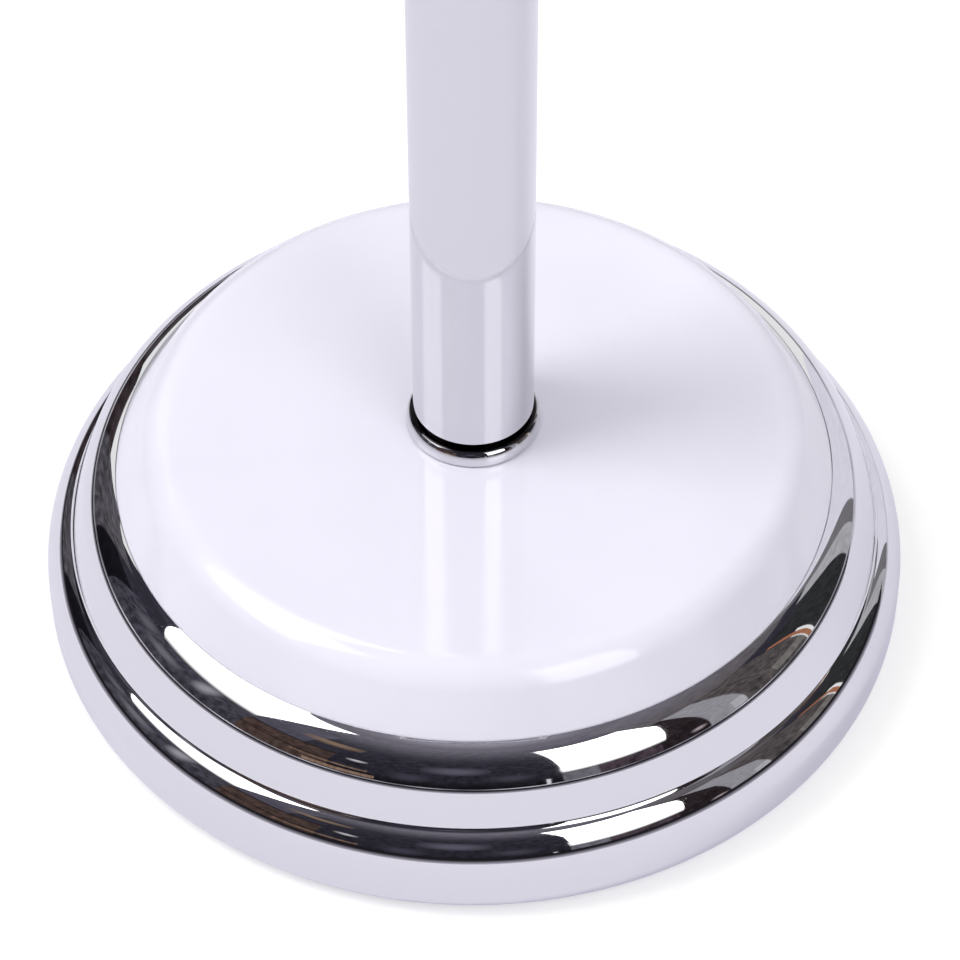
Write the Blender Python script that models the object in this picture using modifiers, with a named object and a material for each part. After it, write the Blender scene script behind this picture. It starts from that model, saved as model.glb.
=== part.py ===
"""A freestanding toilet paper holder: weighted round base, chrome pole, two arms and a sprung roller.

Metres, +Z up. The origin is on the floor, in the middle of the foot ring. The roller lies in front
of the pole, on its -Y side, with its axis along X.
"""

from math import cos, dist, pi, radians, sin, tau

import bmesh
import bpy
from mathutils import Matrix

# Overall sizes
BASE_RADIUS = 0.0910
POLE_LENGTH = 0.4850
POLE_RADIUS = 0.0125
ROLLER_REACH = 0.0750  # from the pole's axis forward to the roller's axis
ROLL_SPACE = 0.1450  # between the two cups, where the paper roll hangs

# Clearances
GAP = 0.0003  # between pieces that touch or slide
OVERRUN = 0.0010  # how far a cutter runs past the face that it opens

# Base, from the floor up to the flat top of the white cap
FLOOR_GAP = 0.0012  # under the chrome rim
RIM_ROUND = 0.0056
LOWER_WALL = 0.0052
LOWER_TIER_DROP = 0.0098
LOWER_TIER_REACH = 0.0066
GROOVE_RADIUS = 0.0009
UPPER_WALL = 0.0025
UPPER_TIER_DROP = 0.0125
UPPER_TIER_REACH = 0.0088
UPPER_TIER_START = 76  # degrees round its ellipse, so that it slopes where it meets the cap
DOME_EDGE_DROP = 0.0125  # from the cap's flat top down to the chrome
DOME_ROUND = 0.0085  # between its flat top and its straight flank
DOME_FLANK = 31.5  # degrees that the flank leans in from upright
DOME_WALL = 0.0025
REBATE_DEPTH = 0.0025
LEDGE_WIDTH = 0.0120
RIM_LIP = 0.0020
SHELL_WALL = 0.0012

# Ballast, plate and foot
FOOT_HEIGHT = 0.0032
FOOT_WIDTH = 0.0100
FOOT_INSET = 0.0015
FOOT_CHAMFER = 0.0006
PLATE_THICKNESS = 0.0015
BALLAST_CLEARANCE = 0.0020
BALLAST_WALL = 0.0180
BALLAST_FLOOR = 0.0090
BALLAST_CHAMFER = 0.0050
BOSS_RADIUS = 0.0180
BOSS_TAPER = 0.0020
PLATE_SCREWS = 3
SCREW_TURN_SHARE = 0.25  # of the step between two screws, from +X to the first
SCREW_EDGE = 0.0045  # from the ballast's inner wall out to the plate screws
SCREW_RADIUS = 0.0016
SCREW_HEAD_RADIUS = 0.0032
SCREW_HEAD_HEIGHT = 0.0014
SCREW_LENGTH = 0.0080

# Tie bolt and its washers
BOLT_RADIUS = 0.0040
BOLT_HEAD_ACROSS = 0.0130  # across the flats
BOLT_HEAD_HEIGHT = 0.0053
BOLT_ENGAGEMENT = 0.0180
WASHER_RADIUS = 0.0110
WASHER_THICKNESS = 0.0016
LOCK_WASHER_RADIUS = 0.0070
LOCK_WASHER_THICKNESS = 0.0018
LOCK_WASHER_SLIT = 0.0012
COUNTERBORE_MARGIN = 0.0015  # round the washer

# Pole
POLE_WALL = 0.0012
POLE_EDGE_ROUND = 0.0008
COLLAR_PROUD = 0.0014  # beyond the pole
COLLAR_HEIGHT = 0.0044
COLLAR_REACH = 0.0014
COLLAR_FOOT = 0.0012
CREVICE_DEPTH = 0.0009  # from the land that the pole stands on down to the bead's crest
FOOT_PLUG_LENGTH = 0.0300
HEAD_PLUG_LENGTH = 0.0220
JOINER_LENGTH = 0.0500
JOINER_WALL = 0.0035
STUD_DEPTH = 0.0120  # into the head, and into the plug below it

# Head, with the roller's height at the middle of its swell
HEAD_NECK_INSET = 0.0005  # inside the pole's surface
NECK_LENGTH = 0.0021
SWELL_LENGTH = 0.0270
SWELL_REACH = 0.0045
HEAD_TOP_LENGTH = 0.0025
FINIAL_SHARE = 0.2  # the finial's steps against the base's
FINIAL_PEG_RADIUS = 0.0050
FINIAL_PEG_LENGTH = 0.0060
FINIAL_DOME_PEG_RADIUS = 0.0025
FINIAL_DOME_PEG_LENGTH = 0.0030

# Arms and cups
ARM_RADIUS = 0.0060
ARM_BEND_RADIUS = 0.0220
SET_SCREW_RADIUS = 0.0020
SET_SCREW_LENGTH = 0.0055
SET_SCREW_PLACE = 0.0080  # from the pole's axis, to each side
HEX_SOCKET_ACROSS = 0.0020
HEX_SOCKET_DEPTH = 0.0022
CUP_LENGTH = 0.0170
CUP_RADIUS = 0.0105
CUP_DOME_LENGTH = 0.0055
CUP_LIP = 0.0008
SEAT_DEPTH = 0.0075
SEAT_WALL = 0.0014  # between the pin's seat and the arm's end

# Roller
ROLLER_RADIUS = 0.0120
ROLLER_WALL = 0.0008
ROLLER_LIP_LENGTH = 0.0012
OUTER_TUBE_SHARE = 0.56  # of the roller's length
TUBE_OVERLAP = 0.0340
INNER_END_WALL = 0.0012
INNER_COLLAR_LENGTH = 0.0020
INNER_CLEARANCE = 0.0008  # round the inner tube, which its collar fills
CAP_FLANGE = 0.0030
CAP_PROUD = 0.0006
CAP_ROUND = 0.0010
SPIGOT_LENGTH = 0.0060
SPRING_BOSS_LENGTH = 0.0030
PIN_RADIUS = 0.0032
PIN_LENGTH = 0.0068
PIN_CHAMFER = 0.0008

# Spring
WIRE_RADIUS = 0.0005
COIL_RADIUS = 0.0078  # of the wire's middle
COIL_PITCH = 0.0040  # from turn to turn, on average
END_TURN_SHARE = 0.1  # of the turns that lie close together, at each end
END_PITCH_SHARE = 0.45  # of the pitch between them

# Facets round each kind of turned piece
BASE_STEPS = 52
BALLAST_STEPS = 32
POLE_STEPS = 24
ROLLER_STEPS = 20
SMALL_STEPS = 12
CURVE_STEPS = 4  # along a quarter ellipse
DOME_CURVE_STEPS = 5
BEND_STEPS = 6
ARM_BEVEL_STEPS = 4
COIL_STEPS = 8
HEXAGON = 6
SHARP_ANGLE = radians(35)
WELD = 0.00001

SIDES = ((-1, "left"), (1, "right"))

# Heights and radii that several pieces share
rim_centre_z = FLOOR_GAP + RIM_ROUND
groove_z = rim_centre_z + LOWER_WALL + LOWER_TIER_DROP
upper_tier_z = groove_z + GROOVE_RADIUS + UPPER_WALL
dome_edge_z = upper_tier_z + UPPER_TIER_DROP
base_top = dome_edge_z + DOME_EDGE_DROP
ledge_z = dome_edge_z - REBATE_DEPTH

lower_tier_radius = BASE_RADIUS - LOWER_TIER_REACH
upper_tier_radius = lower_tier_radius - GROOVE_RADIUS - UPPER_TIER_REACH
dome_radius = upper_tier_radius
rebate_radius = dome_radius + GAP
rim_lip_radius = BASE_RADIUS - RIM_ROUND - RIM_LIP

plate_z = FOOT_HEIGHT + GAP
plate_radius = rim_lip_radius - GAP
ballast_z = plate_z + PLATE_THICKNESS + GAP
ballast_radius = upper_tier_radius + UPPER_TIER_REACH - SHELL_WALL - BALLAST_CLEARANCE
ballast_wall_radius = ballast_radius - BALLAST_WALL
screw_circle = ballast_wall_radius + SCREW_EDGE
counterbore_radius = WASHER_RADIUS + COUNTERBORE_MARGIN
counterbore_depth = WASHER_THICKNESS + LOCK_WASHER_THICKNESS + BOLT_HEAD_HEIGHT + 3 * GAP
bolt_hole_radius = BOLT_RADIUS + GAP

collar_z = base_top + GAP
collar_radius = POLE_RADIUS + COLLAR_PROUD
pole_z = collar_z + COLLAR_HEIGHT + GAP
pole_top = pole_z + POLE_LENGTH
pole_middle = (pole_z + pole_top) / 2
pole_bore = POLE_RADIUS - POLE_WALL
plug_radius = pole_bore - GAP

head_z = pole_top + GAP
neck_radius = POLE_RADIUS - HEAD_NECK_INSET
swell_z = head_z + COLLAR_HEIGHT + NECK_LENGTH
roller_z = swell_z + SWELL_LENGTH / 2
head_top = swell_z + SWELL_LENGTH + HEAD_TOP_LENGTH

cup_face = ROLL_SPACE / 2
arm_x = cup_face + CUP_LENGTH / 2
seat_radius = PIN_RADIUS + GAP
arm_end_y = SEAT_WALL + seat_radius + GAP - ROLLER_REACH
arm_hole_radius = ARM_RADIUS + GAP

roller_half = cup_face - GAP
tube_half = roller_half - CAP_FLANGE - GAP
outer_bore = ROLLER_RADIUS - ROLLER_WALL
inner_collar_radius = outer_bore - GAP
inner_radius = outer_bore - INNER_CLEARANCE
inner_bore = inner_radius - ROLLER_WALL
outer_tube_end = 2 * tube_half * OUTER_TUBE_SHARE - tube_half
inner_tube_end = outer_tube_end - TUBE_OVERLAP


def new_collection(name):
    """An empty collection in the scene."""
    collection = bpy.data.collections.new(name)
    bpy.context.scene.collection.children.link(collection)
    return collection


def new_material(name, colour, metallic, roughness):
    """A plain Principled material."""
    material = bpy.data.materials.new(name)
    material.use_nodes = True
    material.diffuse_color = (*colour, 1)
    shader = material.node_tree.nodes["Principled BSDF"]
    shader.inputs["Base Color"].default_value = (*colour, 1)
    shader.inputs["Metallic"].default_value = metallic
    shader.inputs["Roughness"].default_value = roughness
    return material


def chrome():
    return new_material("polished_chrome", (0.86, 0.86, 0.88), 1, 0.04)


def white_enamel():
    return new_material("white_enamel", (0.88, 0.87, 0.91), 0, 0.1)


def cast_iron():
    return new_material("cast_iron", (0.10, 0.10, 0.11), 0.6, 0.7)


def zinc_steel():
    return new_material("zinc_plated_steel", (0.62, 0.63, 0.65), 1, 0.35)


def spring_steel():
    return new_material("spring_steel", (0.45, 0.45, 0.47), 1, 0.3)


def foot_rubber():
    return new_material("foot_rubber", (0.05, 0.05, 0.055), 0, 0.75)


def arc(centre, reach, rise, start, end, steps):
    """Points along an elliptical arc about centre, between two angles in degrees from +r."""
    angles = [radians(start + (end - start) * step / steps) for step in range(steps + 1)]
    return [(centre[0] + reach * cos(a), centre[1] + rise * sin(a)) for a in angles]


def add(name, data, material, collection):
    """A new object that holds the data."""
    obj = bpy.data.objects.new(name, data)
    collection.objects.link(obj)
    if material:
        obj.data.materials.append(material)
    return obj


def shade(obj):
    """Smooth shading between sharp edges."""
    obj.data.shade_smooth()
    obj.data.set_sharp_from_angle(angle=SHARP_ANGLE)


def turned(name, profile, material, steps, wall=0, loop=True):
    """A profile of (radius, height) points turned about local Z.

    The profile runs down the outer side. A loop is a ring's whole outline, and an open profile
    starts and ends on the axis, unless it is a shell's outer surface, which wall thickens inwards.
    """
    mesh = bpy.data.meshes.new(name)
    points = [(r, 0, z) for r, z in profile]
    edges = [(i, i + 1) for i in range(len(points) - 1)]
    if loop:
        edges.append((len(points) - 1, 0))
    mesh.from_pydata(points, edges, [])
    obj = add(name, mesh, material, parts)
    screw = obj.modifiers.new("turn", "SCREW")
    screw.steps = steps
    screw.render_steps = steps
    screw.use_merge_vertices = True
    screw.merge_threshold = WELD
    if wall:
        solidify = obj.modifiers.new("wall", "SOLIDIFY")
        solidify.thickness = wall
        solidify.offset = -1
        solidify.use_even_offset = True
    make_mesh(obj)
    shade(obj)
    return obj


def make_mesh(obj):
    """The object keeps the shape that its modifiers give, as a mesh of its own."""
    bpy.context.view_layer.update()
    graph = bpy.context.evaluated_depsgraph_get()
    mesh = bpy.data.meshes.new_from_object(obj.evaluated_get(graph), depsgraph=graph)
    mesh.name = obj.name
    obj.modifiers.clear()
    obj.data = mesh


def prism(name, radius, length, sides, collection, material=None):
    """A rod or a prism on local Z, from 0 to length. The radius is to its corners."""
    mesh = bpy.data.meshes.new(name)
    shape = bmesh.new()
    bmesh.ops.create_cone(
        shape, cap_ends=True, segments=sides, radius1=radius, radius2=radius, depth=length
    )
    bmesh.ops.translate(shape, vec=(0, 0, length / 2), verts=shape.verts)
    shape.to_mesh(mesh)
    shape.free()
    obj = add(name, mesh, material, collection)
    shade(obj)
    return obj


def cutter(name, radius, length, sides, location, rotation=(0, 0, 0)):
    """A rod that only cuts or joins other pieces."""
    obj = prism(name, radius, length, sides, cutters)
    obj.location = location
    obj.rotation_euler = rotation
    set_as_cutter(obj)
    return obj


def box_cutter(name, size, location):
    """A box that only cuts other pieces."""
    mesh = bpy.data.meshes.new(name)
    shape = bmesh.new()
    bmesh.ops.create_cube(shape, size=1, matrix=Matrix.Diagonal((*size, 1)))
    shape.to_mesh(mesh)
    shape.free()
    obj = add(name, mesh, None, cutters)
    obj.location = location
    set_as_cutter(obj)
    return obj


def set_as_cutter(obj):
    """The object stays out of renders and shows as wires."""
    obj.hide_render = True
    obj.display_type = "WIRE"


def combine(obj, other, operation):
    """A Boolean of the object with a cutter."""
    boolean = obj.modifiers.new(other.name, "BOOLEAN")
    boolean.operation = operation
    boolean.object = other


def hex_radius(across):
    """From a hexagon's middle to its corners."""
    return across / 2 / cos(pi / HEXAGON)


def stepped_outline(radius, floor, share):
    """The chrome steps, from the white cap's edge down to the rim's underside.

    The share is the steps' size against the base's.
    """
    lower = radius - LOWER_TIER_REACH * share
    upper_wall = lower - GROOVE_RADIUS * share
    rim_z = floor + RIM_ROUND * share
    tier_z = rim_z + LOWER_WALL * share
    fillet_z = tier_z + (LOWER_TIER_DROP + GROOVE_RADIUS) * share
    upper_z = fillet_z + UPPER_WALL * share
    upper_reach = UPPER_TIER_REACH / (1 - cos(radians(UPPER_TIER_START))) * share
    upper_rise = UPPER_TIER_DROP / sin(radians(UPPER_TIER_START)) * share
    upper_centre = (upper_wall - upper_reach, upper_z)
    upper = arc(upper_centre, upper_reach, upper_rise, UPPER_TIER_START, 0, CURVE_STEPS)
    groove = GROOVE_RADIUS * share
    fillet = arc((lower, fillet_z), groove, groove, 180, 270, CURVE_STEPS // 2)
    step_size = (LOWER_TIER_REACH * share, LOWER_TIER_DROP * share)
    step = arc((lower, tier_z), *step_size, 90, 0, CURVE_STEPS)
    rim_centre = (radius - RIM_ROUND * share, rim_z)
    rim = arc(rim_centre, RIM_ROUND * share, RIM_ROUND * share, 0, -90, CURVE_STEPS - 1)
    # The cap's rebate stands a gap outside the cap, so the upper tier starts there
    return [(upper[0][0] + GAP, upper[0][1])] + upper[1:] + fillet + step[1:] + rim


def dome_outline(edge_radius, top, share):
    """The white cap's shoulder: a round from the flat top, and a flank down to the chrome."""
    lean = radians(DOME_FLANK)
    reach = (DOME_ROUND + (DOME_EDGE_DROP - DOME_ROUND) * sin(lean)) / cos(lean)
    centre = (edge_radius - reach * share, top - DOME_ROUND * share)
    size = (DOME_ROUND * share, DOME_ROUND * share)
    shoulder = arc(centre, *size, 90, DOME_FLANK, DOME_CURVE_STEPS)
    return shoulder + [(edge_radius, top - DOME_EDGE_DROP * share)]


def bead_outline(inner_radius, floor):
    """The outer side of a collar bead: its level crest, its round and its upright foot."""
    crest = floor + COLLAR_HEIGHT - CREVICE_DEPTH
    centre = (collar_radius - COLLAR_REACH, floor + COLLAR_FOOT)
    side = arc(centre, COLLAR_REACH, crest - centre[1], 90, 0, CURVE_STEPS)
    return [(inner_radius, crest)] + side + [(collar_radius, floor)]


def base_ring(material):
    """The chrome skirt, pressed in two steps, with a rebated ledge for the cap and a turned-in rim."""
    ledge = [(rebate_radius - LEDGE_WIDTH, ledge_z), (rebate_radius, ledge_z)]
    outline = stepped_outline(BASE_RADIUS, FLOOR_GAP, 1)
    lip = [(rim_lip_radius, FLOOR_GAP)]
    return turned(
        "base_ring", ledge + outline + lip, material, BASE_STEPS, wall=SHELL_WALL, loop=False
    )


def base_dome(material):
    """The white cap, open in the middle for the tie bolt."""
    middle = [(bolt_hole_radius, base_top)]
    skirt = [(dome_radius, ledge_z + GAP)]
    outline = middle + dome_outline(dome_radius, base_top, 1) + skirt
    return turned("base_dome", outline, material, BASE_STEPS, wall=DOME_WALL, loop=False)


def ballast_weight(material):
    """The cast-iron weight: a boss under the cap and a wall under the skirt's ledge."""
    boss_top = base_top - DOME_WALL - GAP
    land = ledge_z - SHELL_WALL - GAP
    floor = ballast_z + BALLAST_FLOOR
    recess = ballast_z + counterbore_depth
    profile = [
        (bolt_hole_radius, boss_top),
        (BOSS_RADIUS, boss_top),
        (BOSS_RADIUS + BOSS_TAPER, floor),
        (ballast_wall_radius - BOSS_TAPER, floor),
        (ballast_wall_radius, land),
        (ballast_radius - BALLAST_CHAMFER, land),
        (ballast_radius, land - BALLAST_CHAMFER),
        (ballast_radius, ballast_z),
        (counterbore_radius, ballast_z),
        (counterbore_radius, recess),
        (bolt_hole_radius, recess),
    ]
    obj = turned("ballast_weight", profile, material, BALLAST_STEPS)
    for number, (x, y) in enumerate(screw_places(), 1):
        hole = cutter(
            f"tapped_hole_{number}",
            SCREW_RADIUS + GAP,
            SCREW_LENGTH + OVERRUN + GAP,
            SMALL_STEPS,
            (x, y, ballast_z - OVERRUN),
        )
        combine(obj, hole, "DIFFERENCE")
    return obj


def screw_places():
    """Where the plate screws stand, evenly round the plate."""
    numbers = range(PLATE_SCREWS)
    turns = [tau * (number + SCREW_TURN_SHARE) / PLATE_SCREWS for number in numbers]
    return [(screw_circle * cos(turn), screw_circle * sin(turn)) for turn in turns]


def bottom_plate(material):
    """The steel plate under the weight, open round the tie bolt's head."""
    opening = counterbore_radius + GAP
    top = plate_z + PLATE_THICKNESS
    profile = [(opening, top), (plate_radius, top), (plate_radius, plate_z), (opening, plate_z)]
    obj = turned("bottom_plate", profile, material, BALLAST_STEPS)
    for number, (x, y) in enumerate(screw_places(), 1):
        hole = cutter(
            f"plate_hole_{number}",
            SCREW_RADIUS + GAP,
            PLATE_THICKNESS + 2 * OVERRUN,
            SMALL_STEPS,
            (x, y, plate_z - OVERRUN),
        )
        combine(obj, hole, "DIFFERENCE")
    return obj


def plate_screw(number, place, material):
    """A pan-head screw up through the plate into the weight."""
    head = arc((0, 0), SCREW_HEAD_RADIUS, SCREW_HEAD_HEIGHT, 0, -90, CURVE_STEPS // 2)
    profile = [(0, SCREW_LENGTH), (SCREW_RADIUS, SCREW_LENGTH), (SCREW_RADIUS, 0)] + head[:-1]
    profile.append((0, -SCREW_HEAD_HEIGHT))
    obj = turned(f"plate_screw_{number}", profile, material, SMALL_STEPS, loop=False)
    obj.location = (*place, plate_z - GAP)
    return obj


def foot_ring(material):
    """The rubber ring that the holder stands on, bonded to the plate."""
    outer = plate_radius - FOOT_INSET
    inner = outer - FOOT_WIDTH
    profile = [
        (inner, FOOT_HEIGHT),
        (outer, FOOT_HEIGHT),
        (outer, FOOT_CHAMFER),
        (outer - FOOT_CHAMFER, 0),
        (inner + FOOT_CHAMFER, 0),
        (inner, FOOT_CHAMFER),
    ]
    return turned("foot_ring", profile, material, BALLAST_STEPS)


def washer_stack():
    """The heights of the washer, the lock washer and the bolt head's top, from the counterbore down."""
    washer = ballast_z + counterbore_depth - GAP - WASHER_THICKNESS
    lock = washer - GAP - LOCK_WASHER_THICKNESS
    return washer, lock, lock - GAP


def bolt_washer(material):
    """The flat washer that spreads the bolt's pull."""
    bottom = washer_stack()[0]
    top = bottom + WASHER_THICKNESS
    profile = [
        (bolt_hole_radius, top),
        (WASHER_RADIUS, top),
        (WASHER_RADIUS, bottom),
        (bolt_hole_radius, bottom),
    ]
    return turned("bolt_washer", profile, material, ROLLER_STEPS)


def lock_washer(material):
    """The split washer, with a slit through one side."""
    bottom = washer_stack()[1]
    top = bottom + LOCK_WASHER_THICKNESS
    profile = [
        (bolt_hole_radius, top),
        (LOCK_WASHER_RADIUS, top),
        (LOCK_WASHER_RADIUS, bottom),
        (bolt_hole_radius, bottom),
    ]
    obj = turned("lock_washer", profile, material, ROLLER_STEPS)
    reach = LOCK_WASHER_RADIUS + OVERRUN
    slit = box_cutter(
        "lock_washer_slit",
        (reach, LOCK_WASHER_SLIT, LOCK_WASHER_THICKNESS + 2 * OVERRUN),
        (reach / 2, 0, (top + bottom) / 2),
    )
    combine(obj, slit, "DIFFERENCE")
    return obj


def tie_bolt(material):
    """The hexagon bolt that clamps the base to the pole from below."""
    under_head = washer_stack()[2]
    top = pole_z + GAP + BOLT_ENGAGEMENT
    head_radius = hex_radius(BOLT_HEAD_ACROSS)
    obj = prism("tie_bolt", head_radius, BOLT_HEAD_HEIGHT, HEXAGON, parts, material)
    obj.location = (0, 0, under_head - BOLT_HEAD_HEIGHT)
    shank = cutter(
        "tie_bolt_shank",
        BOLT_RADIUS,
        top - under_head + BOLT_HEAD_HEIGHT / 2,
        SMALL_STEPS,
        (0, 0, under_head - BOLT_HEAD_HEIGHT / 2),
    )
    combine(obj, shank, "UNION")
    return obj


def pole_collar(material):
    """The chrome bead, with a land inside its crest that the pole stands on."""
    top = collar_z + COLLAR_HEIGHT
    land_radius = POLE_RADIUS - POLE_EDGE_ROUND
    profile = [(bolt_hole_radius, top), (land_radius, top)]
    profile += bead_outline(land_radius, collar_z) + [(bolt_hole_radius, collar_z)]
    return turned("pole_collar", profile, material, POLE_STEPS)


def plug(name, bottom, length, material):
    """A threaded insert fixed in the pole's end."""
    top = bottom + length
    profile = [
        (bolt_hole_radius, top),
        (plug_radius, top),
        (plug_radius, bottom),
        (bolt_hole_radius, bottom),
    ]
    return turned(name, profile, material, ROLLER_STEPS)


def pole_tube(name, bottom, top, round_bottom, round_top, material):
    """Half of the pole, with the end that shows rounded."""
    profile = [(pole_bore, top)]
    if round_top:
        centre = (POLE_RADIUS - POLE_EDGE_ROUND, top - POLE_EDGE_ROUND)
        profile += arc(centre, POLE_EDGE_ROUND, POLE_EDGE_ROUND, 90, 0, CURVE_STEPS // 2)
    else:
        profile.append((POLE_RADIUS, top))
    if round_bottom:
        centre = (POLE_RADIUS - POLE_EDGE_ROUND, bottom + POLE_EDGE_ROUND)
        profile += arc(centre, POLE_EDGE_ROUND, POLE_EDGE_ROUND, 0, -90, CURVE_STEPS // 2)
    else:
        profile.append((POLE_RADIUS, bottom))
    profile.append((pole_bore, bottom))
    return turned(name, profile, material, POLE_STEPS)


def pole_joiner(material):
    """The sleeve inside the seam between the two tubes."""
    top = pole_middle + JOINER_LENGTH / 2
    bottom = pole_middle - JOINER_LENGTH / 2
    bore = plug_radius - JOINER_WALL
    profile = [(bore, top), (plug_radius, top), (plug_radius, bottom), (bore, bottom)]
    return turned("pole_joiner", profile, material, ROLLER_STEPS)


def head_stud(material):
    """The stud that screws the head to the pole."""
    obj = prism("head_stud", BOLT_RADIUS, 2 * STUD_DEPTH, SMALL_STEPS, parts, material)
    obj.location = (0, 0, head_z - STUD_DEPTH - GAP)
    return obj


def head_body(material):
    """The turned head: a bead, a swell that the arms plug into, and a seat for the finial."""
    swell_centre = (neck_radius, roller_z)
    swell = arc(swell_centre, SWELL_REACH, SWELL_LENGTH / 2, 90, -90, 2 * CURVE_STEPS)
    peg_hole = FINIAL_PEG_RADIUS + GAP
    peg_floor = head_top - FINIAL_PEG_LENGTH - GAP
    profile = [(0, peg_floor), (peg_hole, peg_floor), (peg_hole, head_top), (neck_radius, head_top)]
    profile += swell + bead_outline(neck_radius, head_z)
    profile += [(bolt_hole_radius, head_z), (bolt_hole_radius, head_z + STUD_DEPTH)]
    profile.append((0, head_z + STUD_DEPTH))
    obj = turned("head_body", profile, material, POLE_STEPS, loop=False)
    reach = neck_radius + SWELL_REACH + OVERRUN
    arm_hole = cutter(
        "arm_hole", arm_hole_radius, 2 * reach, POLE_STEPS, (-reach, 0, roller_z), (0, pi / 2, 0)
    )
    combine(obj, arm_hole, "DIFFERENCE")
    for side, name in SIDES:
        screw_hole = cutter(
            f"set_screw_hole_{name}",
            SET_SCREW_RADIUS + GAP,
            reach,
            SMALL_STEPS,
            (side * SET_SCREW_PLACE, reach, roller_z),
            (pi / 2, 0, 0),
        )
        combine(obj, screw_hole, "DIFFERENCE")
    return obj


def arm_set_screw(side, name, material):
    """A grub screw from the back of the head, tight on one arm."""
    obj = prism(
        f"arm_set_screw_{name}", SET_SCREW_RADIUS, SET_SCREW_LENGTH, SMALL_STEPS, parts, material
    )
    obj.location = (side * SET_SCREW_PLACE, ARM_RADIUS + GAP + SET_SCREW_LENGTH, roller_z)
    obj.rotation_euler = (pi / 2, 0, 0)
    socket = cutter(
        f"hex_socket_{name}",
        hex_radius(HEX_SOCKET_ACROSS),
        HEX_SOCKET_DEPTH + OVERRUN,
        HEXAGON,
        (side * SET_SCREW_PLACE, obj.location.y + OVERRUN, roller_z),
        (pi / 2, 0, 0),
    )
    combine(obj, socket, "DIFFERENCE")
    return obj


def finial_ring(material):
    """The base's chrome steps again, small and solid, with a peg that presses into the head."""
    floor = head_top + GAP
    radius = BASE_RADIUS * FINIAL_SHARE
    outline = stepped_outline(radius, floor, FINIAL_SHARE)
    edge_radius, edge = outline[0]
    seat = edge - REBATE_DEPTH * FINIAL_SHARE
    hole = FINIAL_DOME_PEG_RADIUS + GAP
    hole_floor = seat - FINIAL_DOME_PEG_LENGTH - GAP
    profile = [(0, hole_floor), (hole, hole_floor), (hole, seat), (edge_radius, seat)]
    profile += outline
    profile += [
        (FINIAL_PEG_RADIUS, floor),
        (FINIAL_PEG_RADIUS, floor - FINIAL_PEG_LENGTH),
        (0, floor - FINIAL_PEG_LENGTH),
    ]
    return turned("finial_ring", profile, material, POLE_STEPS, loop=False)


def finial_dome(material):
    """The small white cap on the finial, with its own peg."""
    ring = stepped_outline(BASE_RADIUS * FINIAL_SHARE, head_top + GAP, FINIAL_SHARE)
    rebate, edge = ring[0]
    edge_radius = rebate - GAP
    top = edge + DOME_EDGE_DROP * FINIAL_SHARE
    seat = edge - REBATE_DEPTH * FINIAL_SHARE + GAP
    profile = [(0, top)] + dome_outline(edge_radius, top, FINIAL_SHARE)
    profile += [
        (edge_radius, seat),
        (FINIAL_DOME_PEG_RADIUS, seat),
        (FINIAL_DOME_PEG_RADIUS, seat - FINIAL_DOME_PEG_LENGTH),
        (0, seat - FINIAL_DOME_PEG_LENGTH),
    ]
    return turned("finial_dome", profile, material, POLE_STEPS, loop=False)


def tube_along(name, points, radius, bevel_steps, material):
    """A round bar along the points."""
    curve = bpy.data.curves.new(name, "CURVE")
    curve.dimensions = "3D"
    curve.bevel_depth = radius
    curve.bevel_resolution = bevel_steps
    curve.use_fill_caps = True
    spline = curve.splines.new("POLY")
    spline.points.add(len(points) - 1)
    for point, place in zip(spline.points, points):
        point.co = (*place, 1)
    return add(name, curve, material, parts)


def arm(side, name, material):
    """A bar out of the head, round a bend and forward into the cup."""
    bend_centre = (arm_x - ARM_BEND_RADIUS, -ARM_BEND_RADIUS)
    bend = arc(bend_centre, ARM_BEND_RADIUS, ARM_BEND_RADIUS, 90, 0, BEND_STEPS)
    route = [(GAP, 0)] + bend + [(arm_x, arm_end_y)]
    points = [(side * x, y, roller_z) for x, y in route]
    return tube_along(f"arm_{name}", points, ARM_RADIUS, ARM_BEVEL_STEPS, material)


def arm_cup(side, name, material):
    """The arm's turned end, with the blind seat for a roller pin on its inner face."""
    dome_z = CUP_LENGTH - CUP_DOME_LENGTH
    dome = arc((0, dome_z), CUP_RADIUS, CUP_DOME_LENGTH, 90, 0, CURVE_STEPS)
    lip = arc((CUP_RADIUS - CUP_LIP, CUP_LIP), CUP_LIP, CUP_LIP, 0, -90, CURVE_STEPS // 2)
    seat = [(seat_radius, 0), (seat_radius, SEAT_DEPTH), (0, SEAT_DEPTH)]
    profile = [(0, CUP_LENGTH)] + dome[1:] + lip + seat
    obj = turned(f"arm_cup_{name}", profile, material, ROLLER_STEPS, loop=False)
    obj.location = (side * cup_face, -ROLLER_REACH, roller_z)
    obj.rotation_euler = (0, side * pi / 2, 0)
    hole = cutter(
        f"cup_hole_{name}",
        arm_hole_radius,
        CUP_RADIUS + OVERRUN,
        POLE_STEPS,
        (side * arm_x, arm_end_y - GAP, roller_z),
        (-pi / 2, 0, 0),
    )
    combine(obj, hole, "DIFFERENCE")
    return obj


def roller_axis():
    """The empty on the roller's axis, with its Z along +X."""
    obj = bpy.data.objects.new("roller_axis", None)
    parts.objects.link(obj)
    obj.location = (0, -ROLLER_REACH, roller_z)
    obj.rotation_euler = (0, pi / 2, 0)
    return obj


def roller_outer_tube(axis, material):
    """The thick half of the roller, with its open end turned in to keep the thin half."""
    lip = inner_radius + GAP
    start = -tube_half
    profile = [
        (lip, outer_tube_end),
        (ROLLER_RADIUS, outer_tube_end),
        (ROLLER_RADIUS, start),
        (outer_bore, start),
        (outer_bore, outer_tube_end - ROLLER_LIP_LENGTH),
        (lip, outer_tube_end - ROLLER_LIP_LENGTH),
    ]
    obj = turned("roller_outer_tube", profile, material, ROLLER_STEPS)
    obj.parent = axis
    return obj


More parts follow.
